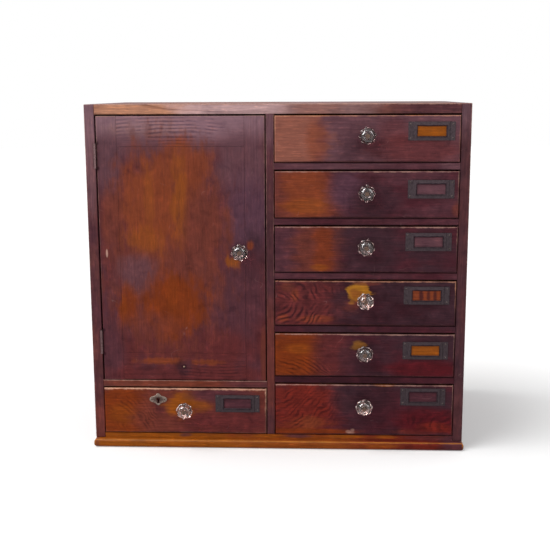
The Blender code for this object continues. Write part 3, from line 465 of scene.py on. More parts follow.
inside = ((-0.3, -0.1555, 0.0), (0.3, 0.2, 0.6))
stained_oak(
    "centre_divider", "zyx", (20, 40), (plum, (0.10, 0.03, 0.033)), rub=1.0, bare=inside,
    patches=[(painted_sheen, -10, 520, 12, 40, 0.3), (russet, -10, 150, 12, 90, 0.6), (dusk, -10, 330, 12, 80, 0.5)],
)
for number, tones in enumerate(
    ((plum, mauve), (damson, plum), (damson, plum), (damson, dusk), (ink, damson)), start=1,
):
    board = "dust_board_%d" % number
    # Painted shadow: the ink strips along the top and bottom of each board's front stand for the drawers'
    # shade.
    stained_oak(
        board, "xyz", (50 - 20 * number, 40), tones, rub=0, bare=inside,
        patches=[(ink, 136, corner.z / MM, 150, 1.3, 0.65, 0.5, 0.8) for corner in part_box(board)],
    )
stained_oak(
    "cupboard_floor", "xyz", (-30, 50), (russet, (0.115, 0.034, 0.03)), rub=1.3, bare=inside,
    patches=[(plum, -40, 105, 40, 20, 0.6), (burnt, -180, 105, 70, 20, 0.4)],
)

# Back panel
# Raw oak boards laid edge to edge, dried out and greyed, nailed into the rebates of the sides and into the
# edges of the top board and the base step.

tree, takes, gives = begin_group("board_shade", {"Float": "Along Boards"}, {"Float": "Shade"})
count = maths(tree, "FLOOR", times(tree, takes["Along"], takes["Boards"]))
chance = put(tree, "ShaderNodeTexWhiteNoise", {"W": count}, noise_dimensions="1D")
feed(tree, gives, {"Shade": chance.outputs["Value"]})

back = stained_oak(
    "back_panel", "zxy", (70, 60), ((0.25, 0.138, 0.07), (0.32, 0.182, 0.096)), lean=(0.02, 0.0), rub=0,
    gloss=0.66, figure=0.6,
    patches=[
        ((0.12, 0.066, 0.036), -180, 60, 150, 70, 0.6), ((0.16, 0.09, 0.05), 200, 490, 140, 60, 0.5),
        ((0.13, 0.075, 0.045), 60, 330, 60, 90, 0.4), ((0.10, 0.06, 0.035), 0, 20, 320, 26, 0.6),
    ],
)


def reopen(finish):
    """Go back into a finished material: its tree, its shader's inputs, the place and its base colour."""
    tree = finish.node_tree
    shader = tree.nodes["Principled BSDF"].inputs
    place = put(tree, "ShaderNodeTexCoord", {}).outputs["Object"]
    return tree, shader, place, shader["Base Color"].links[0].from_socket


boards = 5
low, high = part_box("back_panel")
tree, shader, place, plain = reopen(back)
along = maths(tree, "SUBTRACT", split(tree, place)["X"], low.x)
shade = use(tree, "board_shade", {"Along": along, "Boards": boards / (high.x - low.x)})["Shade"]
greyed = slope(tree, shade, 0.0, 1.0, 0.0, 0.75)
feed(tree, shader, {"Base Color": tint(tree, greyed, plain, (0.66, 0.62, 0.6))})


def outward(bm):
    """Point all the faces of a mesh to its outside."""
    bmesh.ops.recalc_face_normals(bm, faces=bm.faces[:])
    return bm


def turned(profile, steps):
    """Spin a profile of radius and height, in millimetres, into a closed solid about Z."""
    bm = bmesh.new()
    verts = [bm.verts.new((radius * MM, 0.0, height * MM)) for radius, height in profile]
    edges = [bm.edges.new(pair) for pair in zip(verts, verts[1:])]
    bmesh.ops.spin(
        bm, geom=verts + edges, cent=(0, 0, 0), axis=(0, 0, 1), angle=2 * math.pi, steps=steps,
        use_merge=True,
    )
    bmesh.ops.remove_doubles(bm, verts=bm.verts[:], dist=0.002 * MM)
    return outward(bm)


def set_in(bm, centre, facing, roll=0.0):
    """Turn the mesh so that its Z looks along facing, and move it to its place, in millimetres."""
    turn = Vector((0, 0, 1)).rotation_difference(Vector(facing)).to_matrix().to_4x4()
    move = Matrix.Translation(Vector(centre) * MM)
    bmesh.ops.transform(bm, matrix=move @ turn @ Matrix.Rotation(roll, 4, "Z"), verts=bm.verts[:])
    return bm


def set_down(name, bm):
    """Turn a finished bmesh into mesh data."""
    mesh = bpy.data.meshes.new(name)
    bm.to_mesh(mesh)
    bm.free()
    return mesh


def gather(target, bm):
    """Add one mesh to another."""
    loose = set_down("loose", bm)
    target.from_mesh(loose)
    bpy.data.meshes.remove(loose)


def bring_in(name, data):
    """Make an object of the data, and bring it into the scene."""
    made = bpy.data.objects.new(name, data)
    bpy.context.scene.collection.objects.link(made)
    return made


def fix_on(name, bm, body, finish, sharp=35.0):
    """Make the mesh a piece of the chest that moves with a body."""
    mesh = set_down(name, bm)
    mesh.polygons.foreach_set("use_smooth", [True] * len(mesh.polygons))
    mesh.set_sharp_from_angle(angle=math.radians(sharp))
    mesh.materials.append(finish)
    made = bring_in(name, mesh)
    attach(made, body)
    return made


# Tarnish: bright metal under a skin of brown that thickens in clouds, with fine scratches through it
tree, takes, gives = begin_group("tarnish", {
    "Vector": "Vector", "Color": "Bright Dull", "Float": "Spread",
}, {"Color": "Color", "Float": "Roughness Relief"})
clouds = noise(tree, takes["Vector"], 260.0, 5.0, 0.65)
skin = slope(tree, maths(tree, "ADD", clouds, takes["Spread"]), 0.4, 0.75)
lines = noise(tree, drawn_out(tree, takes["Vector"], 0.08), 2600.0, 2.0)
scratch = slope(tree, lines, 0.6, 0.7, 0.0, 0.35)
clean = scaled(tree, clouds, 0.2, 0.16)
feed(tree, gives, {
    "Color": mix(tree, scratch, mix(tree, skin, takes["Bright"], takes["Dull"]), takes["Bright"]),
    "Roughness": scaled(tree, skin, 0.28, clean),
    "Relief": maths(tree, "ADD", times(tree, clouds, 0.8), scratch),
})


def old_metal(name, bright, dull, spread, dullness=0.0, depth=0.25):
    made, tree, shader, place = begin_material(name)
    skin = use(tree, "tarnish", {"Vector": place, "Bright": bright, "Dull": dull, "Spread": spread})
    feed(tree, shader, {
        "Base Color": skin["Color"], "Roughness": maths(tree, "ADD", skin["Roughness"], dullness),
        "Metallic": 1.0, "Normal": relief(tree, skin["Relief"], depth, 0.1),
    })
    return made


forward = (0, -1, 0)
backward = (0, 1, 0)
nail_head = [(0, 0.35), (1.1, 0.3), (1.75, 0.05), (1.75, -1.5), (0, -1.5)]
nail_rows = ((18.5, 0.6), (190, -0.8), (362, 0.5), (534.5, -0.5))
nail_iron = old_metal("nail_iron", (0.20, 0.17, 0.15), (0.085, 0.048, 0.03), 0.15)
nails = bmesh.new()
for board in range(boards):
    for share in (0.22, 0.78):
        for level, drift in nail_rows:
            along = low.x / MM + (board + share) * (high.x - low.x) / MM / boards + drift * (1 + board % 3)
            gather(nails, set_in(turned(nail_head, 12), (along, high.y / MM, level + drift), backward))
fix_on("back_nails", nails, "carcass", nail_iron)

# Door
# A flush frame and panel: stiles the full height of the door, rails between them on stub tenons, and a panel
# with upright grain. Years of sun and cleaning have taken the stain off the middle of the panel.

wine = (0.112, 0.020, 0.021)
honey = (0.197, 0.032, 0.003)
smoke = (0.098, 0.038, 0.060)
door_face = -161.5
raw_margin = 3.5
door_box = (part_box("door_hinge_stile")[0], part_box("door_latch_stile")[1])
# Stain and wear of the door, with a painted sheen across the top rail and painted shade at the hinge ends.
door_wear_and_painted_light = [
    (painted_sheen, -145, 520, 165, 38, 0.95, 0.5, 0.5), (mauve, -190, 480, 90, 25, 0.6),
    (mauve, -255, 445, 20, 50, 0.7), (pale_rub_and_highlight, -190, 506, 60, 13, 0.16, 0.5, 2.6),
    (mauve, -50, 450, 45, 50, 0.85), (smoke, -45, 372, 40, 60, 0.9), (dusk, -35, 305, 18, 45, 0.6),
    (plum, -62, 245, 50, 60, 0.9), (wine, -145, 165, 125, 28, 0.8),
    (russet, -170, 320, 88, 160, 0.9, 0.4, 1.6), (burnt, -142, 445, 42, 45, 0.8, 0.45, 1.8),
    (burnt, -190, 385, 52, 70, 0.95, 0.4, 1.8), (amber, -150, 405, 10, 55, 0.5, 0.6, 2.6),
    (amber, -205, 335, 28, 20, 0.35, 0.6, 2.6), (amber, -162, 240, 9, 36, 0.5, 0.6, 2.6),
    (amber, -240, 232, 5, 20, 0.5, 0.6, 2.6), (amber, -196, 400, 8, 40, 0.3, 0.6, 2.6),
    (russet, -105, 360, 32, 50, 0.85, 0.45, 1.8), (mauve, -217, 283, 30, 28, 0.75, 0.5, 1.8),
    (honey, -160, 235, 45, 50, 0.92, 0.4, 1.8), (honey, -235, 230, 14, 32, 0.85, 0.5, 2.0),
    (russet, -200, 200, 50, 20, 0.5), (russet, -255, 370, 16, 50, 0.8), (plum, -262, 150, 20, 50, 0.85),
    (wine, -150, 120, 130, 14, 0.8), (burnt, -185, 142, 32, 5, 0.9, 0.6, 2.6),
    (burnt, -108, 140, 22, 4, 0.8, 0.6, 2.6), (dusk, -147, 132, 12, 12, 0.6),
    (ink, -147, 133, 4, 3.5, 0.9, 0.4, 0.6), (russet, -21, 155, 5, 45, 0.8),
    (ink, -205, 130, 16, 4, 0.4, 0.6, 2.6), (pale_rub_and_highlight, -264, 314, 1.6, 6, 0.95, 0.3, 1.0),
    (amber, -68, 302, 9, 8, 0.7, 0.5, 3.0), (burnt, -40, 326, 6, 9, 0.85, 0.5, 3.0),
]
# Painted shade at the top and bottom ends of each hinge.
for end in ("upper", "lower"):
    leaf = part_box("hinge_%s_frame_leaf" % end)
    door_wear_and_painted_light += [(ink, -274, corner.z / MM, 3, 3, 0.9, 0.4, 0.6) for corner in leaf]
door_flames = [
    (-150, 420, 0.3, 5.5, 6.0, -165, 505, 95, 20, 0.5), (-90, 190, 0.3, 5.0, 3.0, -90, 124, 70, 16, 0.4),
]
for node, order, heart, lean, figure, fibres, rub in (
    ("door_top_rail", "xzy", (-60, 25), 0.05, 0.12, 0.12, 1.3),
    ("door_bottom_rail", "xzy", (40, 30), -0.03, 0.25, 0.14, 1.3),
    ("door_hinge_stile", "zxy", (-40, 30), 0.01, 0.14, 0.14, 1.3),
    ("door_latch_stile", "zxy", (45, 30), -0.01, 0.14, 0.14, 1.3),
    ("door_panel", "zxy", (-25, 65), 0.03, 0.14, 0.13, 0),
):
    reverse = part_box(node)[1].y - raw_margin * MM
    stained_oak(
        node, order, heart, (wine, plum), door_wear_and_painted_light, bare=((-0.3, reverse, 0.0), (0.3, 0.2, 0.6)),
        lean=(lean, 0.0), figure=figure, fibres=fibres, rub=rub, rub_box=door_box, streak="z",
        flames=door_flames if "rail" in node else (),
    )
pin = turned([(0, 0.9), (1.0, 0.75), (1.7, 0.2), (1.75, -2), (0, -2)], 16)
fix_on("door_pin", set_in(pin, (-147.2, door_face, 132.6), forward), "door", nail_iron)

# Hinges
# Two steel butt hinges, each leaf let in on its edge and held by three countersunk screws; the frame leaf
# keeps the pin. The steel has gone dark, with brown rust between the knuckles.

hinge_steel = old_metal("hinge_steel", (0.14, 0.085, 0.088), (0.062, 0.034, 0.034), 0.06)
screw_steel = old_metal("screw_steel", (0.33, 0.30, 0.27), (0.12, 0.085, 0.06), 0.02)


def seat_of(node):
    """The middle of a node's back, in millimetres."""
    low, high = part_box(node)
    return Vector(((low.x + high.x) / 2, high.y, (low.z + high.z) / 2)) / MM


def cut(bm, point, normal):
    bmesh.ops.bisect_plane(
        bm, geom=bm.verts[:] + bm.edges[:] + bm.faces[:], dist=0.001 * MM, plane_co=point, plane_no=normal,
    )


def new_verts(grown):
    """The vertices among what an extrusion made."""
    return [item for item in grown["geom"] if isinstance(item, bmesh.types.BMVert)]


def raise_faces(bm, faces, height):
    """Extrude faces along Z, in millimetres; returns the raised vertices."""
    tops = new_verts(bmesh.ops.extrude_face_region(bm, geom=faces))
    bmesh.ops.translate(bm, vec=(0, 0, height * MM), verts=tops)
    return tops


def draw_edges(bm, edges, scale, drop):
    """Extrude edges, scale the new ones and drop them along Z, in millimetres."""
    verts = new_verts(bmesh.ops.extrude_edge_only(bm, edges=edges))
    bmesh.ops.scale(bm, vec=scale, verts=verts)
    bmesh.ops.translate(bm, vec=(0, 0, -drop * MM), verts=verts)


def slotted(radius, slot, land, neck, length):
    """A screw or bolt: a flat head with an open slot, tapering to its shank; Z looks out of the head."""
    taper = 1.2
    bm = bmesh.new()
    bmesh.ops.create_circle(bm, cap_ends=True, segments=20, radius=radius * MM)
    for side in (-0.5, 0.5):
        cut(bm, (side * slot * MM, 0, 0), (1, 0, 0))
    raise_faces(bm, [face for face in bm.faces if abs(face.calc_center_median().x) > slot * MM / 2], land)
    for drop, share in ((taper, neck / radius), (length - taper, 1.0)):
        draw_edges(bm, [edge for edge in bm.edges if edge.is_boundary], (share, share, 1), drop)
    bmesh.ops.holes_fill(bm, edges=[edge for edge in bm.edges if edge.is_boundary])
    return outward(bm)


screw_head, screw_slot, screw_land, screw_neck, screw_length, screw_sunk = 2.3, 0.6, 0.35, 1.2, 6.0, 0.2
screw_holes = ((-13.5, 9.5, 0.4), (0.0, 8.0, 1.9), (13.5, 9.5, 1.1))
for leaf, body, facing, face in (("frame_leaf", "carcass", 1, -277.0), ("door_leaf", "door", -1, -276.3)):
    for end in ("upper", "lower"):
        name = "hinge_%s_%s" % (end, leaf)
        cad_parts[name].material_slots[0].material = hinge_steel
        screws = bmesh.new()
        for rise, inset, roll in screw_holes:
            screw = slotted(screw_head, screw_slot, screw_land, screw_neck, screw_length)
            centre = (face - facing * screw_sunk, door_face + inset, seat_of(name).z + rise)
            gather(screws, set_in(screw, centre, (facing, 0, 0), roll))
        fix_on(name + "_screws", screws, body, screw_steel)

# Drawer fronts
# Solid oak with the grain along the drawer, the face a little proud of the carcass, all its front arrises
# eased. Each has aged in its own way: amber where sun and hands have had the stain, near black elsewhere.

rose = (0.285, 0.097, 0.066)
bare_oak = (0.42, 0.175, 0.016)
straw_rub_and_highlight = (0.68, 0.38, 0.26)
lap = ((-0.3, -0.1585, 0.0), (0.3, 0.2, 0.6))


def window(number, tone, strength=1.0, along=0.0, wide=32.0, soft=0.04, ragged=0.0):
    """What the label holder's window shows of the front behind it."""
    middle = seat_of("drawer_%d_label_holder" % number)
    return (tone, middle.x + along, middle.z, wide, 12, strength, soft, ragged)


def shade_and_grime(node, number):
    """Painted shadow right of and below the knob, partly hand grease as well, painted shadow along the foot
    of the front, and painted shadow under the top and left edges of the label's window.
    """
    low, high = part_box(node)
    card = seat_of("drawer_%d_label_holder" % number)
    hand = seat_of("drawer_%d_knob" % number)
    return [
        (ink, hand.x + 9, hand.z - 14, 20, 16, 0.6 if hand.x > 0 else 0.25, 0.7, 1.2),
        (ink, seat_of(node).x, low.z / MM, (high.x - low.x) / 2 / MM, 2.0, 0.8, 0.45, 0.8),
        (ink, card.x, card.z + 8.0, 23, 1.4, 0.8, 0.5, 0.4),
        (ink, card.x - 22.0, card.z, 1.2, 9, 0.7, 0.5, 0.4),
    ]


# The dusk and ink patches right of and below the knobs are partly hand grease and partly painted knob shadow.
for node, heart, lean, ground, flames, patches in (
    ("drawer_1_front", (-40, 50), 0.02, (mauve, mauve), [], [
        (rose, 20, 490, 54, 60, 0.95, 0.4, 1.6), (burnt, 62, 485, 16, 34, 0.55),
        (dusk, 116, 476, 20, 22, 0.6, 0.6, 1.4), (wine, 215, 474, 75, 22, 0.75),
        (wine, 175, 500, 26, 20, 0.5), (amber, 62, 525, 40, 1.3, 0.85, 0.45, 2.0),
        (amber, 210, 525, 16, 1.3, 0.85, 0.45, 2.0), window(1, amber),
    ]),
    ("drawer_2_front", (40, 45), -0.02, (plum, damson), [], [
        (russet, 4, 405, 14, 60, 0.7), (burnt, 46, 405, 38, 60, 0.95, 0.45, 1.4),
        (burnt, 68, 384, 28, 15, 0.6, 0.6, 1.8), (amber, 46, 388, 32, 11, 0.3),
        (smoke, 106, 412, 26, 30, 0.8, 0.5, 1.6), (dusk, 148, 395, 36, 26, 0.8),
        (russet, 273, 382, 7, 11, 0.7), window(2, mauve),
    ]),
    ("drawer_3_front", (-35, 60), 0.015, (dusk, damson), [], [
        (plum, 14, 322, 26, 60, 0.9), (russet, 62, 322, 36, 60, 0.9, 0.5, 1.4),
        (honey, 72, 322, 15, 60, 0.6, 0.5, 1.6), (amber, 65, 293, 13, 5, 0.4),
        (dusk, 145, 315, 42, 50, 0.85), window(3, mauve, 0.8),
    ]),
    ("drawer_4_front", (26, 35), 0.03, (dusk, ink), [
        (-60, 170, 1.0, 8.5, 2.2, 38, 256, 54, 15, 0.8), (-55, 305, 1.0, 8.5, 2.2, 44, 220, 54, 17, 0.85),
    ], [
        (wine, 42, 237, 56, 60, 0.95, 0.4, 1.6), (dusk, 96, 234, 12, 28, 0.45), (russet, 16, 262, 9, 7, 0.8),
        (burnt, 28, 250, 6, 10, 0.5), (burnt, 60, 212, 26, 6, 0.5), (burnt, 10, 214, 8, 6, 0.5),
        (ink, 128, 254, 21, 18, 0.75, 0.25, 1.8), (bare_oak, 126, 255, 18, 14, 1.0, 0.2, 2.2),
        (burnt, 121, 252, 8, 8, 0.6, 0.6, 3.0), (russet, 120, 233, 12, 8, 0.7, 0.6, 3.0),
        (bare_oak, 116, 238, 4, 3, 0.4, 0.6, 3.0), (russet, 138, 268, 20, 3, 0.7), window(4, burnt),
        window(4, ink, 0.8, -8, 3.0, 0.6, 2.4), window(4, ink, 0.7, 3, 2.5, 0.6, 2.4),
        window(4, ink, 0.7, 13, 2.5, 0.6, 2.4),
    ]),
    ("drawer_5_front", (34, 40), -0.03, (dusk, damson), [(-28, 0, 1.0, 6.0, 2.5, 36, 134, 42, 15, 0.65)], [
        (honey, 24, 156, 50, 60, 0.95, 0.6, 1.2), (amber, 33, 164, 22, 8, 0.3), (wine, 88, 155, 30, 40, 0.8),
        (dusk, 110, 150, 14, 24, 0.55), (dusk, 152, 140, 30, 24, 0.8), (ink, 152, 140, 22, 20, 0.35),
        (garnet, 228, 133, 64, 14, 0.9), (bare_oak, 127, 172, 11, 7, 0.5, 0.4, 3.0), window(5, amber, 0.9),
    ]),
    ("drawer_6_front", (-40, 30), 0.03, (dusk, damson), [
        (-40, 150, 1.0, 7.0, 2.6, 40, 68, 54, 34, 0.55), (300, 40, 0.5, 6.5, 4.0, 244, 46, 38, 16, 0.45),
    ], [
        (ember, 36, 68, 58, 66, 0.88, 0.5, 1.6), (burnt, 55, 42, 15, 10, 0.6), (honey, 52, 28, 68, 6, 0.8),
        (burnt, 45, 42, 40, 10, 0.45, 0.6, 2.6), (burnt, 228, 31, 40, 6, 0.5, 0.6, 2.6),
        (dusk, 130, 80, 40, 24, 0.8), (ink, 156, 76, 30, 28, 0.55, 0.6, 1.2),
        (garnet, 240, 46, 60, 22, 0.95), (ember, 250, 37, 26, 8, 0.7), (amber, 168, 106, 14, 2.5, 0.8),
        (pale_rub_and_highlight, 113, 29, 4, 2.4, 0.5, 0.5, 2.0), (pale_rub_and_highlight, 119, 31.5, 3, 2.6, 0.45, 0.5, 2.0),
        (pale_rub_and_highlight, 117, 27, 5, 1.4, 0.4, 0.6, 2.0), window(6, plum, 0.6),
    ]),
    ("drawer_7_front", (34, 45), 0.03, (wine, russet), [(-330, -20, 1.0, 7.5, 3.6, -228, 56, 42, 26, 0.32)], [
        (honey, -246, 56, 44, 50, 0.95, 0.3, 0.8), (amber, -246, 54, 22, 16, 0.3),
        (russet, -190, 50, 40, 36, 0.85), (damson, -187, 66, 9, 12, 0.5, 0.5, 2.4),
        (amber, -151, 71, 25, 21, 0.9, 0.45, 2.2), (plum, -90, 86, 50, 12, 0.7),
        (amber, -119, 69, 13, 10, 0.6, 0.6, 2.6), (garnet, -60, 38, 40, 12, 0.4, 0.6, 2.0),
        # The ink strip at the right end is a painted shadow in the gap beside the divider.
        (wine, -66, 45, 56, 22, 0.85), (ink, -17, 60, 1.8, 45, 0.9, 0.4, 0.4), window(7, plum),
    ]),
):
    number = int(node.split("_")[1])
    low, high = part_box(node)
    stained_oak(
        node, "xzy", heart, ground, patches + shade_and_grime(node, number), lean=(lean, 0.0), figure=0.12, fibres=0.22,
        # The pale edge tones are rubbed wear with a painted highlight along the top arrises.
        rub=3.2 if number == 7 else 2.0, rub_box=(low - past if number > 1 else low, high),
        edge_tone=straw_rub_and_highlight if number == 7 else orange_rub_and_highlight if number in (1, 4) else pale_rub_and_highlight, bare=lap, flames=flames,
    )

# Drawer boxes
# Raw oak sides and back, the sides dovetailed into the ends of the front, with a thin bottom slid into
# grooves from behind. They were never stained, and have only browned and gathered dust.

side_foot_tone = (0.15, 0.08, 0.038)
floor_dust = (0.13, 0.07, 0.035)
back_thick = 8
for number in range(1, 8):
    box = "drawer_%d_box" % number
    low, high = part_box(box)
    stained_oak(
        box, "yzx", (15 - 4 * number, 40 + 3 * number), ((0.315, 0.16, 0.067), (0.245, 0.118, 0.047)),
        rub=0.7, edge_tone=(0.36, 0.22, 0.11), gloss=0.64, figure=0.7, on="yz",
        crossed=("y", high.y - back_thick * MM, "xzy"),
        # The sides are darker along their foot.
        patches=[(side_foot_tone, 60 - 30 * number % 90, low.z / MM, 130, 14, 0.5)],
    )
    stained_oak(
        "drawer_%d_bottom" % number, "xyz", (20 * number - 70, -60),
        ((0.27, 0.133, 0.056), (0.21, 0.099, 0.041)), rub=0, gloss=0.68, figure=0.75, on="xy",
        patches=[(floor_dust, seat_of(box).x + 40 - 12 * number, 20 * number - 60, 60, 50, 0.45)],
    )

# Drawer knobs
# Pressed clear glass with eight pointed flutes, each drawn up to its drawer by a slotted brass bolt through
# the middle, with a washer and nut behind the front. Dirt has settled in the flutes.

flutes = 8
flute_depth = 0.1
dome_front = 7.5
knob_radius = 13.6
knob_length = 23.0
foot_radius = 7.6
bore = 2.5
bolt_seat, bolt_head, bolt_slot, bolt_land, bolt_neck = 20.5, 3.5, 0.8, 0.8, 2.1
nut_across, nut_tall, washer_tall = 7.5, 3.2, 1.1


def glass_knob():
    """Spin the knob's section round its bore, then press the flutes into the skirt; Z looks out of it."""
    curves = [
        ((foot_radius, 0.0), (foot_radius, 1.2), (6.0, 2.2), (6.0, 4.2)),
        ((6.0, 4.2), (6.0, 6.6), (8.6, 7.6), (11.4, 9.2)),
        ((11.4, 9.2), (12.8, 10.0), (13.6, 11.2), (knob_radius, 12.6)),
        ((knob_radius, 12.6), (13.5, 13.8), (12.2, 14.8), (11.2, 15.6)),
        ((11.2, 15.6), (11.2, 19.4), (9.4, 22.6), (5.9, knob_length)),
        ((5.9, knob_length), (5.2, knob_length), (4.9, 22.4), (4.8, 20.6)),
    ]
    profile = [(bore, 0.0), (foot_radius - 0.4, 0.0)]
    for curve in curves:
        steps = interpolate_bezier(*[Vector((*point, 0.0)) for point in curve], 8)
        profile += [(step.x, step.y) for step in steps[1:]]
    profile += [(bore, 20.4), (bore, 0.0)]
    bm = turned(profile, flutes * 12)
    for vert in bm.verts:
        radius = math.hypot(vert.co.x, vert.co.y) / MM
        share = min(1.0, max(0.0, (radius - foot_radius) / (knob_radius - foot_radius)))
        share *= min(1.0, max(0.0, (knob_length - dome_front - vert.co.z / MM) / 2.0))
        press = 1 - flute_depth * share * abs(math.sin(math.atan2(vert.co.y, vert.co.x) * flutes / 2))
        vert.co.x *= press
        vert.co.y *= press
    return outward(bm)


# The glass is darker on the knobs high on the chest and on the knob of the fifth drawer
dark_knob_height = 0.153
clear_glass, tree, shader, place = begin_material("clear_glass")
smear = noise(tree, place, 210.0, 4.0, 0.6)
cloudy = mix(tree, slope(tree, smear, 0.38, 0.7), (0.80, 0.65, 0.62), (0.44, 0.34, 0.325))
height = split(tree, place)["Z"]
aloft = slope(tree, height, 0.25, 0.37, 0.0, 0.85)
fifth = maths(tree, "ABSOLUTE", maths(tree, "SUBTRACT", height, dark_knob_height))
darker_glass = maths(tree, "MAXIMUM", aloft, slope(tree, fifth, 0.02, 0.05, 0.65, 0.0))
feed(tree, shader, {
    "Base Color": mix(tree, darker_glass, cloudy, (0.26, 0.18, 0.18)),
    "Roughness": slope(tree, smear, 0.35, 0.8, 0.012, 0.06),
    "Transmission Weight": 0.94, "Specular IOR Level": 1.0, "IOR": 1.5,
    "Normal": relief(tree, noise(tree, place, 240.0, 2.0), 0.15, 0.3),
})
bolt_brass = old_metal("bolt_brass", (0.135, 0.086, 0.066), (0.052, 0.033, 0.028), 0.02)


def ease(bm, edges, width):
    bmesh.ops.bevel(
        bm, geom=edges, offset=width * MM, offset_type="OFFSET", segments=2, profile=0.5, affect="EDGES",
        material=-1,
    )


def hex_nut(across, height):
    bm = bmesh.new()
    bmesh.ops.create_circle(bm, cap_ends=True, segments=6, radius=across / math.sqrt(3) * MM)
    tops = raise_faces(bm, bm.faces[:], height)
    ease(bm, [edge for edge in bm.edges if all(vert in tops for vert in edge.verts)], 0.35)
    return outward(bm)


def fit_knob(name, node, body, seat, roll, bolt_length, bolt_roll):
    """Stand a glass knob on its seat in place of a node, with the bolt that draws it up."""
    knob = set_in(glass_knob(), seat, forward, roll)
    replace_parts(fix_on(name + "_glass", knob, body, clear_glass, sharp=60.0), node)
    bolt = slotted(bolt_head, bolt_slot, bolt_land, bolt_neck, bolt_length)
    set_in(bolt, seat + bolt_seat * Vector(forward), forward, bolt_roll)
    fix_on(name + "_bolt", bolt, body, bolt_brass)


washer = [(2.3, 0.05), (6.4, 0.05), (6.4, 0.9), (6.1, washer_tall), (2.3, washer_tall), (2.3, 0.05)]
for number in range(1, 8):
    node = "drawer_%d_knob" % number
    body = "drawer_%d" % number
    seat = seat_of(node)
    fit_knob(node, node, body, seat, 0.3 + 0.61 * number, bolt_length=41, bolt_roll=0.5 + 1.3 * number)
    holder = turned(washer, 24)
    gather(holder, set_in(hex_nut(nut_across, nut_tall), (0, 0, washer_tall), (0, 0, 1), 0.4 * number))
    set_in(holder, (seat.x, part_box(body + "_front")[1].y / MM, seat.z), backward)
    fix_on(node + "_nut", holder, body, screw_steel)

# Door knob and turn latch
# The same glass knob on a steel spindle that passes through the panel, with a flat tongue behind it. Turned a
# quarter, the tongue swings into its slot in the divider; at rest it hangs down.

spindle_height = 317.75
spindle = [(0, 0), (3.0, 0), (3.0, 21.2), (4.6, 21.25), (4.6, 22.1), (2.4, 22.6), (0, 22.8)]
tongue_radius, tongue_thick = 5.0, 2.8
low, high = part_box("door_turn_knob")
seat = Vector(((low.x + high.x) / 2 / MM, low.y / MM + knob_length, spindle_height))
fit_knob("door_knob", "door_turn_knob", "latch", seat, 0.15, bolt_length=22, bolt_roll=0.9)
latch = set_in(turned(spindle, 20), seat + Vector((0, 0.4, 0)), backward)
tongue = bmesh.new()
bmesh.ops.create_circle(tongue, cap_ends=True, segments=28, radius=tongue_radius * MM)
for vert in tongue.verts:
    if vert.co.y < 0:
        vert.co.y += low.z - (seat.z - tongue_radius) * MM
raise_faces(tongue, tongue.faces[:], tongue_thick)
ease(tongue, [edge for edge in tongue.edges if edge.calc_face_angle(0.0) > 1.0], 0.4)
bmesh.ops.rotate(tongue, cent=(0, 0, 0), matrix=Matrix.Rotation(math.pi / 2, 3, "X"), verts=tongue.verts[:])
bmesh.ops.translate(tongue, vec=(seat.x * MM, high.y - 0.2 * MM, seat.z * MM), verts=tongue.verts[:])
gather(latch, outward(tongue))
fix_on("door_latch", latch, "latch", hinge_steel)

# Label holders
# Pressed from thin steel sheet: two flat ears for pins, and between them a raised frame with a lip round its
# window, open behind so that a card can slide in. The steel has gone nearly black, and a painted shadow
# darkens the lip round the window.

label_steel = old_metal("label_steel", (0.035, 0.026, 0.029), (0.029, 0.021, 0.024), 0.06, 0.3, 0.06)
pin_brass = old_metal("pin_brass", (0.056, 0.044, 0.040), (0.030, 0.023, 0.021), 0.06, 0.3)
plate_wide, plate_tall, window_wide, window_tall = 70.0, 28.0, 44.0, 16.5
frame_wide, frame_rise, bead, lip, metal = 54.0, 0.9, 1.7, 0.5, 0.45
roll_in, roll_down = 0.8, 0.7
pin_head = [(0, 1.0), (0.6, 0.9), (1.15, 0.45), (1.2, 0.1), (1.2, -2), (0, -2)]

tree, shader, place, dark = reopen(label_steel)
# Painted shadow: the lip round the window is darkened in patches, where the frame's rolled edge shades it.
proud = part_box("drawer_1_label_holder")[1].y - (frame_rise + metal) * MM
on_lip = slope(tree, split(tree, place)["Y"], proud - 0.05 * MM, proud - 0.3 * MM)
darkened = times(tree, on_lip, slope(tree, noise(tree, place, 130.0), 0.35, 0.6, 0.5, 0.95))
feed(tree, shader, {"Base Color": mix(tree, darkened, dark, (0.014, 0.008, 0.011))})


def within(point, wide, tall):
    """Whether a point lies in a rectangle about the middle, in millimetres."""
    return abs(point.x) < wide / 2 * MM and abs(point.y) < tall / 2 * MM


def face_front(bm):
    """Turn all the faces of an open sheet to look along Z."""
    outward(bm)
    if sum(face.normal.z for face in bm.faces) < 0:
        bmesh.ops.reverse_faces(bm, faces=bm.faces[:])


def thicken(sheet, thickness, width):
    """Give a sheet its thickness, and ease its edges."""
    thick = sheet.modifiers.new("sheet", "SOLIDIFY")
    thick.thickness = thickness * MM
    thick.offset = 1.0
    eased = sheet.modifiers.new("eased", "BEVEL")
    eased.width = width * MM
    eased.segments = 2
    eased.limit_method = "ANGLE"
    eased.angle_limit = math.radians(50)
    eased.harden_normals = True


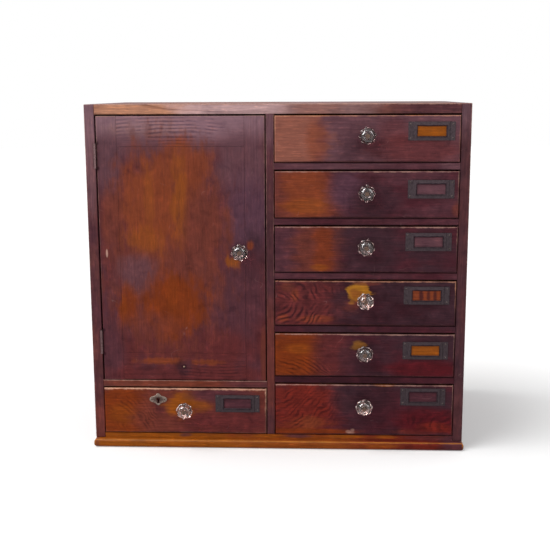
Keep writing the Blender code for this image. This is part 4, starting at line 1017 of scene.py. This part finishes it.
for number in range(1, 8):
    node = "drawer_%d_label_holder" % number
    body = "drawer_%d" % number
    centre = seat_of(node)
    bm = bmesh.new()
    bmesh.ops.create_grid(bm, x_segments=1, y_segments=1, size=0.5)
    bmesh.ops.scale(bm, vec=(plate_wide * MM, plate_tall * MM, 1), verts=bm.verts[:])
    rise = frame_wide / 2 - frame_rise
    stops = [frame_wide / 2, rise, window_wide / 2 + bead, window_wide / 2]
    for across in [-stop for stop in stops] + stops[::-1]:
        cut(bm, (across * MM, 0, 0), (1, 0, 0))
    for up in (-window_tall / 2 - bead, -window_tall / 2, window_tall / 2, window_tall / 2 + bead):
        cut(bm, (0, up * MM, 0), (0, 1, 0))
    hole = [face for face in bm.faces if within(face.calc_center_median(), window_wide, window_tall)]
    bmesh.ops.delete(bm, geom=hole, context="FACES")
    raised = [vert for vert in bm.verts if abs(vert.co.x) < (rise + 0.1) * MM]
    bmesh.ops.translate(bm, vec=(0, 0, frame_rise * MM), verts=raised)
    rim = [
        edge for edge in bm.edges if edge.is_boundary
        and all(within(vert.co, window_wide + 0.2, window_tall + 0.2) for vert in edge.verts)
    ]
    bmesh.ops.translate(bm, vec=(0, 0, lip * MM), verts=list({vert for edge in rim for vert in edge.verts}))
    draw_edges(bm, rim, (1 - roll_in / window_wide, 1 - roll_in / window_tall, 1), roll_down)
    face_front(bm)
    holder = fix_on(node + "_plate", set_in(bm, centre, forward), body, label_steel)
    thicken(holder, metal, 0.16)
    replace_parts(holder, node)
    pins = bmesh.new()
    for across, up in ((-31.5, -10.5), (31.5, 10.5), (-31.5, 10.5), (31.5, -10.5)):
        gather(pins, set_in(turned(pin_head, 12), centre + Vector((across, 0, up)), forward))
    fix_on(node + "_pins", pins, body, pin_brass)

# Lock of the left drawer
# A four-lobed plate of pale brass round the keyhole, held by two pins, and behind it a steel lock case let
# into the back of the front, with a brass bolt that rises into the cupboard floor.

plate_metal = old_metal("escutcheon_brass", (0.20, 0.15, 0.125), (0.065, 0.045, 0.038), 0.02, 0.12)
low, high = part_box("escutcheon")
centre = seat_of("escutcheon")
tree, shader, place, clean = reopen(plate_metal)
# The plate is darker round the keyhole.
darkened = use(tree, "worn_patch", {
    "Vector": place, "Centre": centre * MM, "Reach": (8.5 * MM, endless, 5.0 * MM), "Soft": 0.4,
    "Ragged": 2.0, "Tear": swing(tree, place, 420.0, 4.0, 0.6), "Strength": 0.85,
})["Mask"]
feed(tree, shader, {"Base Color": mix(tree, darkened, clean, (0.042, 0.026, 0.024))})
lobe = 1.6
eye_radius, slit_half, slit_foot = 3.0, 1.8, 6.6
half_wide = (high.x - low.x) / 2 / MM - lobe
half_tall = (high.z - low.z) / 2 / MM - lobe
bm = bmesh.new()
rims = []
for outside in (False, True):
    made = bmesh.ops.create_circle(bm, segments=64, radius=1.0)["verts"]
    for vert in made:
        turn = math.atan2(vert.co.y, vert.co.x)
        if outside:
            reach = half_wide * half_tall / math.hypot(half_tall * math.cos(turn), half_wide * math.sin(turn))
            reach += lobe * math.cos(4 * turn)
        else:
            reach = eye_radius
            if math.sin(turn) < 0:
                slit = min(slit_foot / -math.sin(turn), slit_half / max(abs(math.cos(turn)), 0.01))
                reach = max(reach, slit)
        vert.co = (reach * math.cos(turn) * MM, reach * math.sin(turn) * MM, 0.0)
    rims += {edge for vert in made for edge in vert.link_edges}
bmesh.ops.bridge_loops(bm, edges=rims)
face_front(bm)
plate = fix_on("escutcheon_plate", set_in(bm, centre, forward), "drawer_7", plate_metal)
thicken(plate, 1.0, 0.35)
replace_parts(plate, "escutcheon")
pin_head = [(0, 1.75), (0.6, 1.65), (1.05, 1.3), (1.1, 1.0), (1.1, -2), (0, -2)]
pins = bmesh.new()
for across in (-10.3, 10.3):
    gather(pins, set_in(turned(pin_head, 12), centre + Vector((across, 0, 0)), forward))
fix_on("escutcheon_pins", pins, "drawer_7", pin_brass)
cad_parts["lock_case"].material_slots[0].material = hinge_steel
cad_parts["lock_bolt"].material_slots[0].material = bolt_brass

# Studio
# A pale floor under a white surround, a broad soft key lamp high on the left, and a softbox on each side that
# only gloss and glass pick up. The camera stands a little above the chest and right of its middle.

floor_mesh = bmesh.new()
bmesh.ops.create_circle(floor_mesh, cap_ends=True, segments=64, radius=9.0)
floor = bring_in("floor", set_down("floor", floor_mesh))
floor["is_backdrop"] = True


def seen(tree):
    """Rays that the camera sees, straight, in gloss or through glass."""
    rays = put(tree, "ShaderNodeLightPath", {}).outputs
    around = maths(tree, "MAXIMUM", rays["Is Glossy Ray"], rays["Is Transmission Ray"])
    return maths(tree, "MAXIMUM", rays["Is Camera Ray"], around)


paper, tree, shader, place = begin_material("floor_paper")
feed(tree, shader, {
    "Base Color": mix(tree, noise(tree, place, 3.0), (0.80, 0.80, 0.80), (0.83, 0.83, 0.83)),
    "Roughness": 0.95, "Specular IOR Level": 0.0, "Emission Color": (1.0, 1.0, 1.0),
    "Emission Strength": times(tree, seen(tree), 0.2),
})
floor.data.materials.append(paper)

world = bpy.data.worlds.new("surround")
bpy.context.scene.world = world
world.use_nodes = True
tree = world.node_tree
feed(tree, tree.nodes["Background"].inputs, {
    "Color": (1.0, 1.0, 1.0), "Strength": scaled(tree, seen(tree), 0.4, 0.6),
})

aim = Vector((0, -0.1, 0.25))
for name, kind, power, spot in (
    ("soft_key", "SUN", 2.05, (-0.9, -0.4, 1.9)), ("softbox", "AREA", 190.0, (-1.5, -1.5, 1.7)),
    ("second_softbox", "AREA", 50.0, (1.4, -1.5, 1.5)),
):
    light = bpy.data.lights.new(name, kind)
    light.energy = power
    if kind == "SUN":
        light.angle = math.radians(40)
    else:
        light.shape = "RECTANGLE"
        light.size, light.size_y = 1.6, 1.8
    lamp = bring_in(name, light)
    lamp.visible_diffuse = kind == "SUN"
    lamp.location = spot
    lamp.rotation_euler = (aim - lamp.location).to_track_quat("-Z", "Y").to_euler()

eye = bpy.data.cameras.new("eye")
eye.sensor_width = 36.0
eye.lens = 64.22
camera = bring_in("eye", eye)
stand = Vector((0.0653, -1.6527, 0.5578))
yaw, pitch, roll = math.radians(-2.617), math.radians(10.51), math.radians(-0.235)
ahead = Vector((math.sin(yaw) * math.cos(pitch), math.cos(yaw) * math.cos(pitch), -math.sin(pitch)))
level = Vector((math.cos(yaw), -math.sin(yaw), 0.0))
upright = level.cross(ahead)
right = level * math.cos(roll) + upright * math.sin(roll)
up = upright * math.cos(roll) - level * math.sin(roll)
camera.matrix_world = Matrix.Translation(stand) @ Matrix((right, up, -ahead)).transposed().to_4x4()
bpy.context.scene.camera = camera
bpy.context.scene.view_settings.view_transform = "Standard"

low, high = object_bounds()
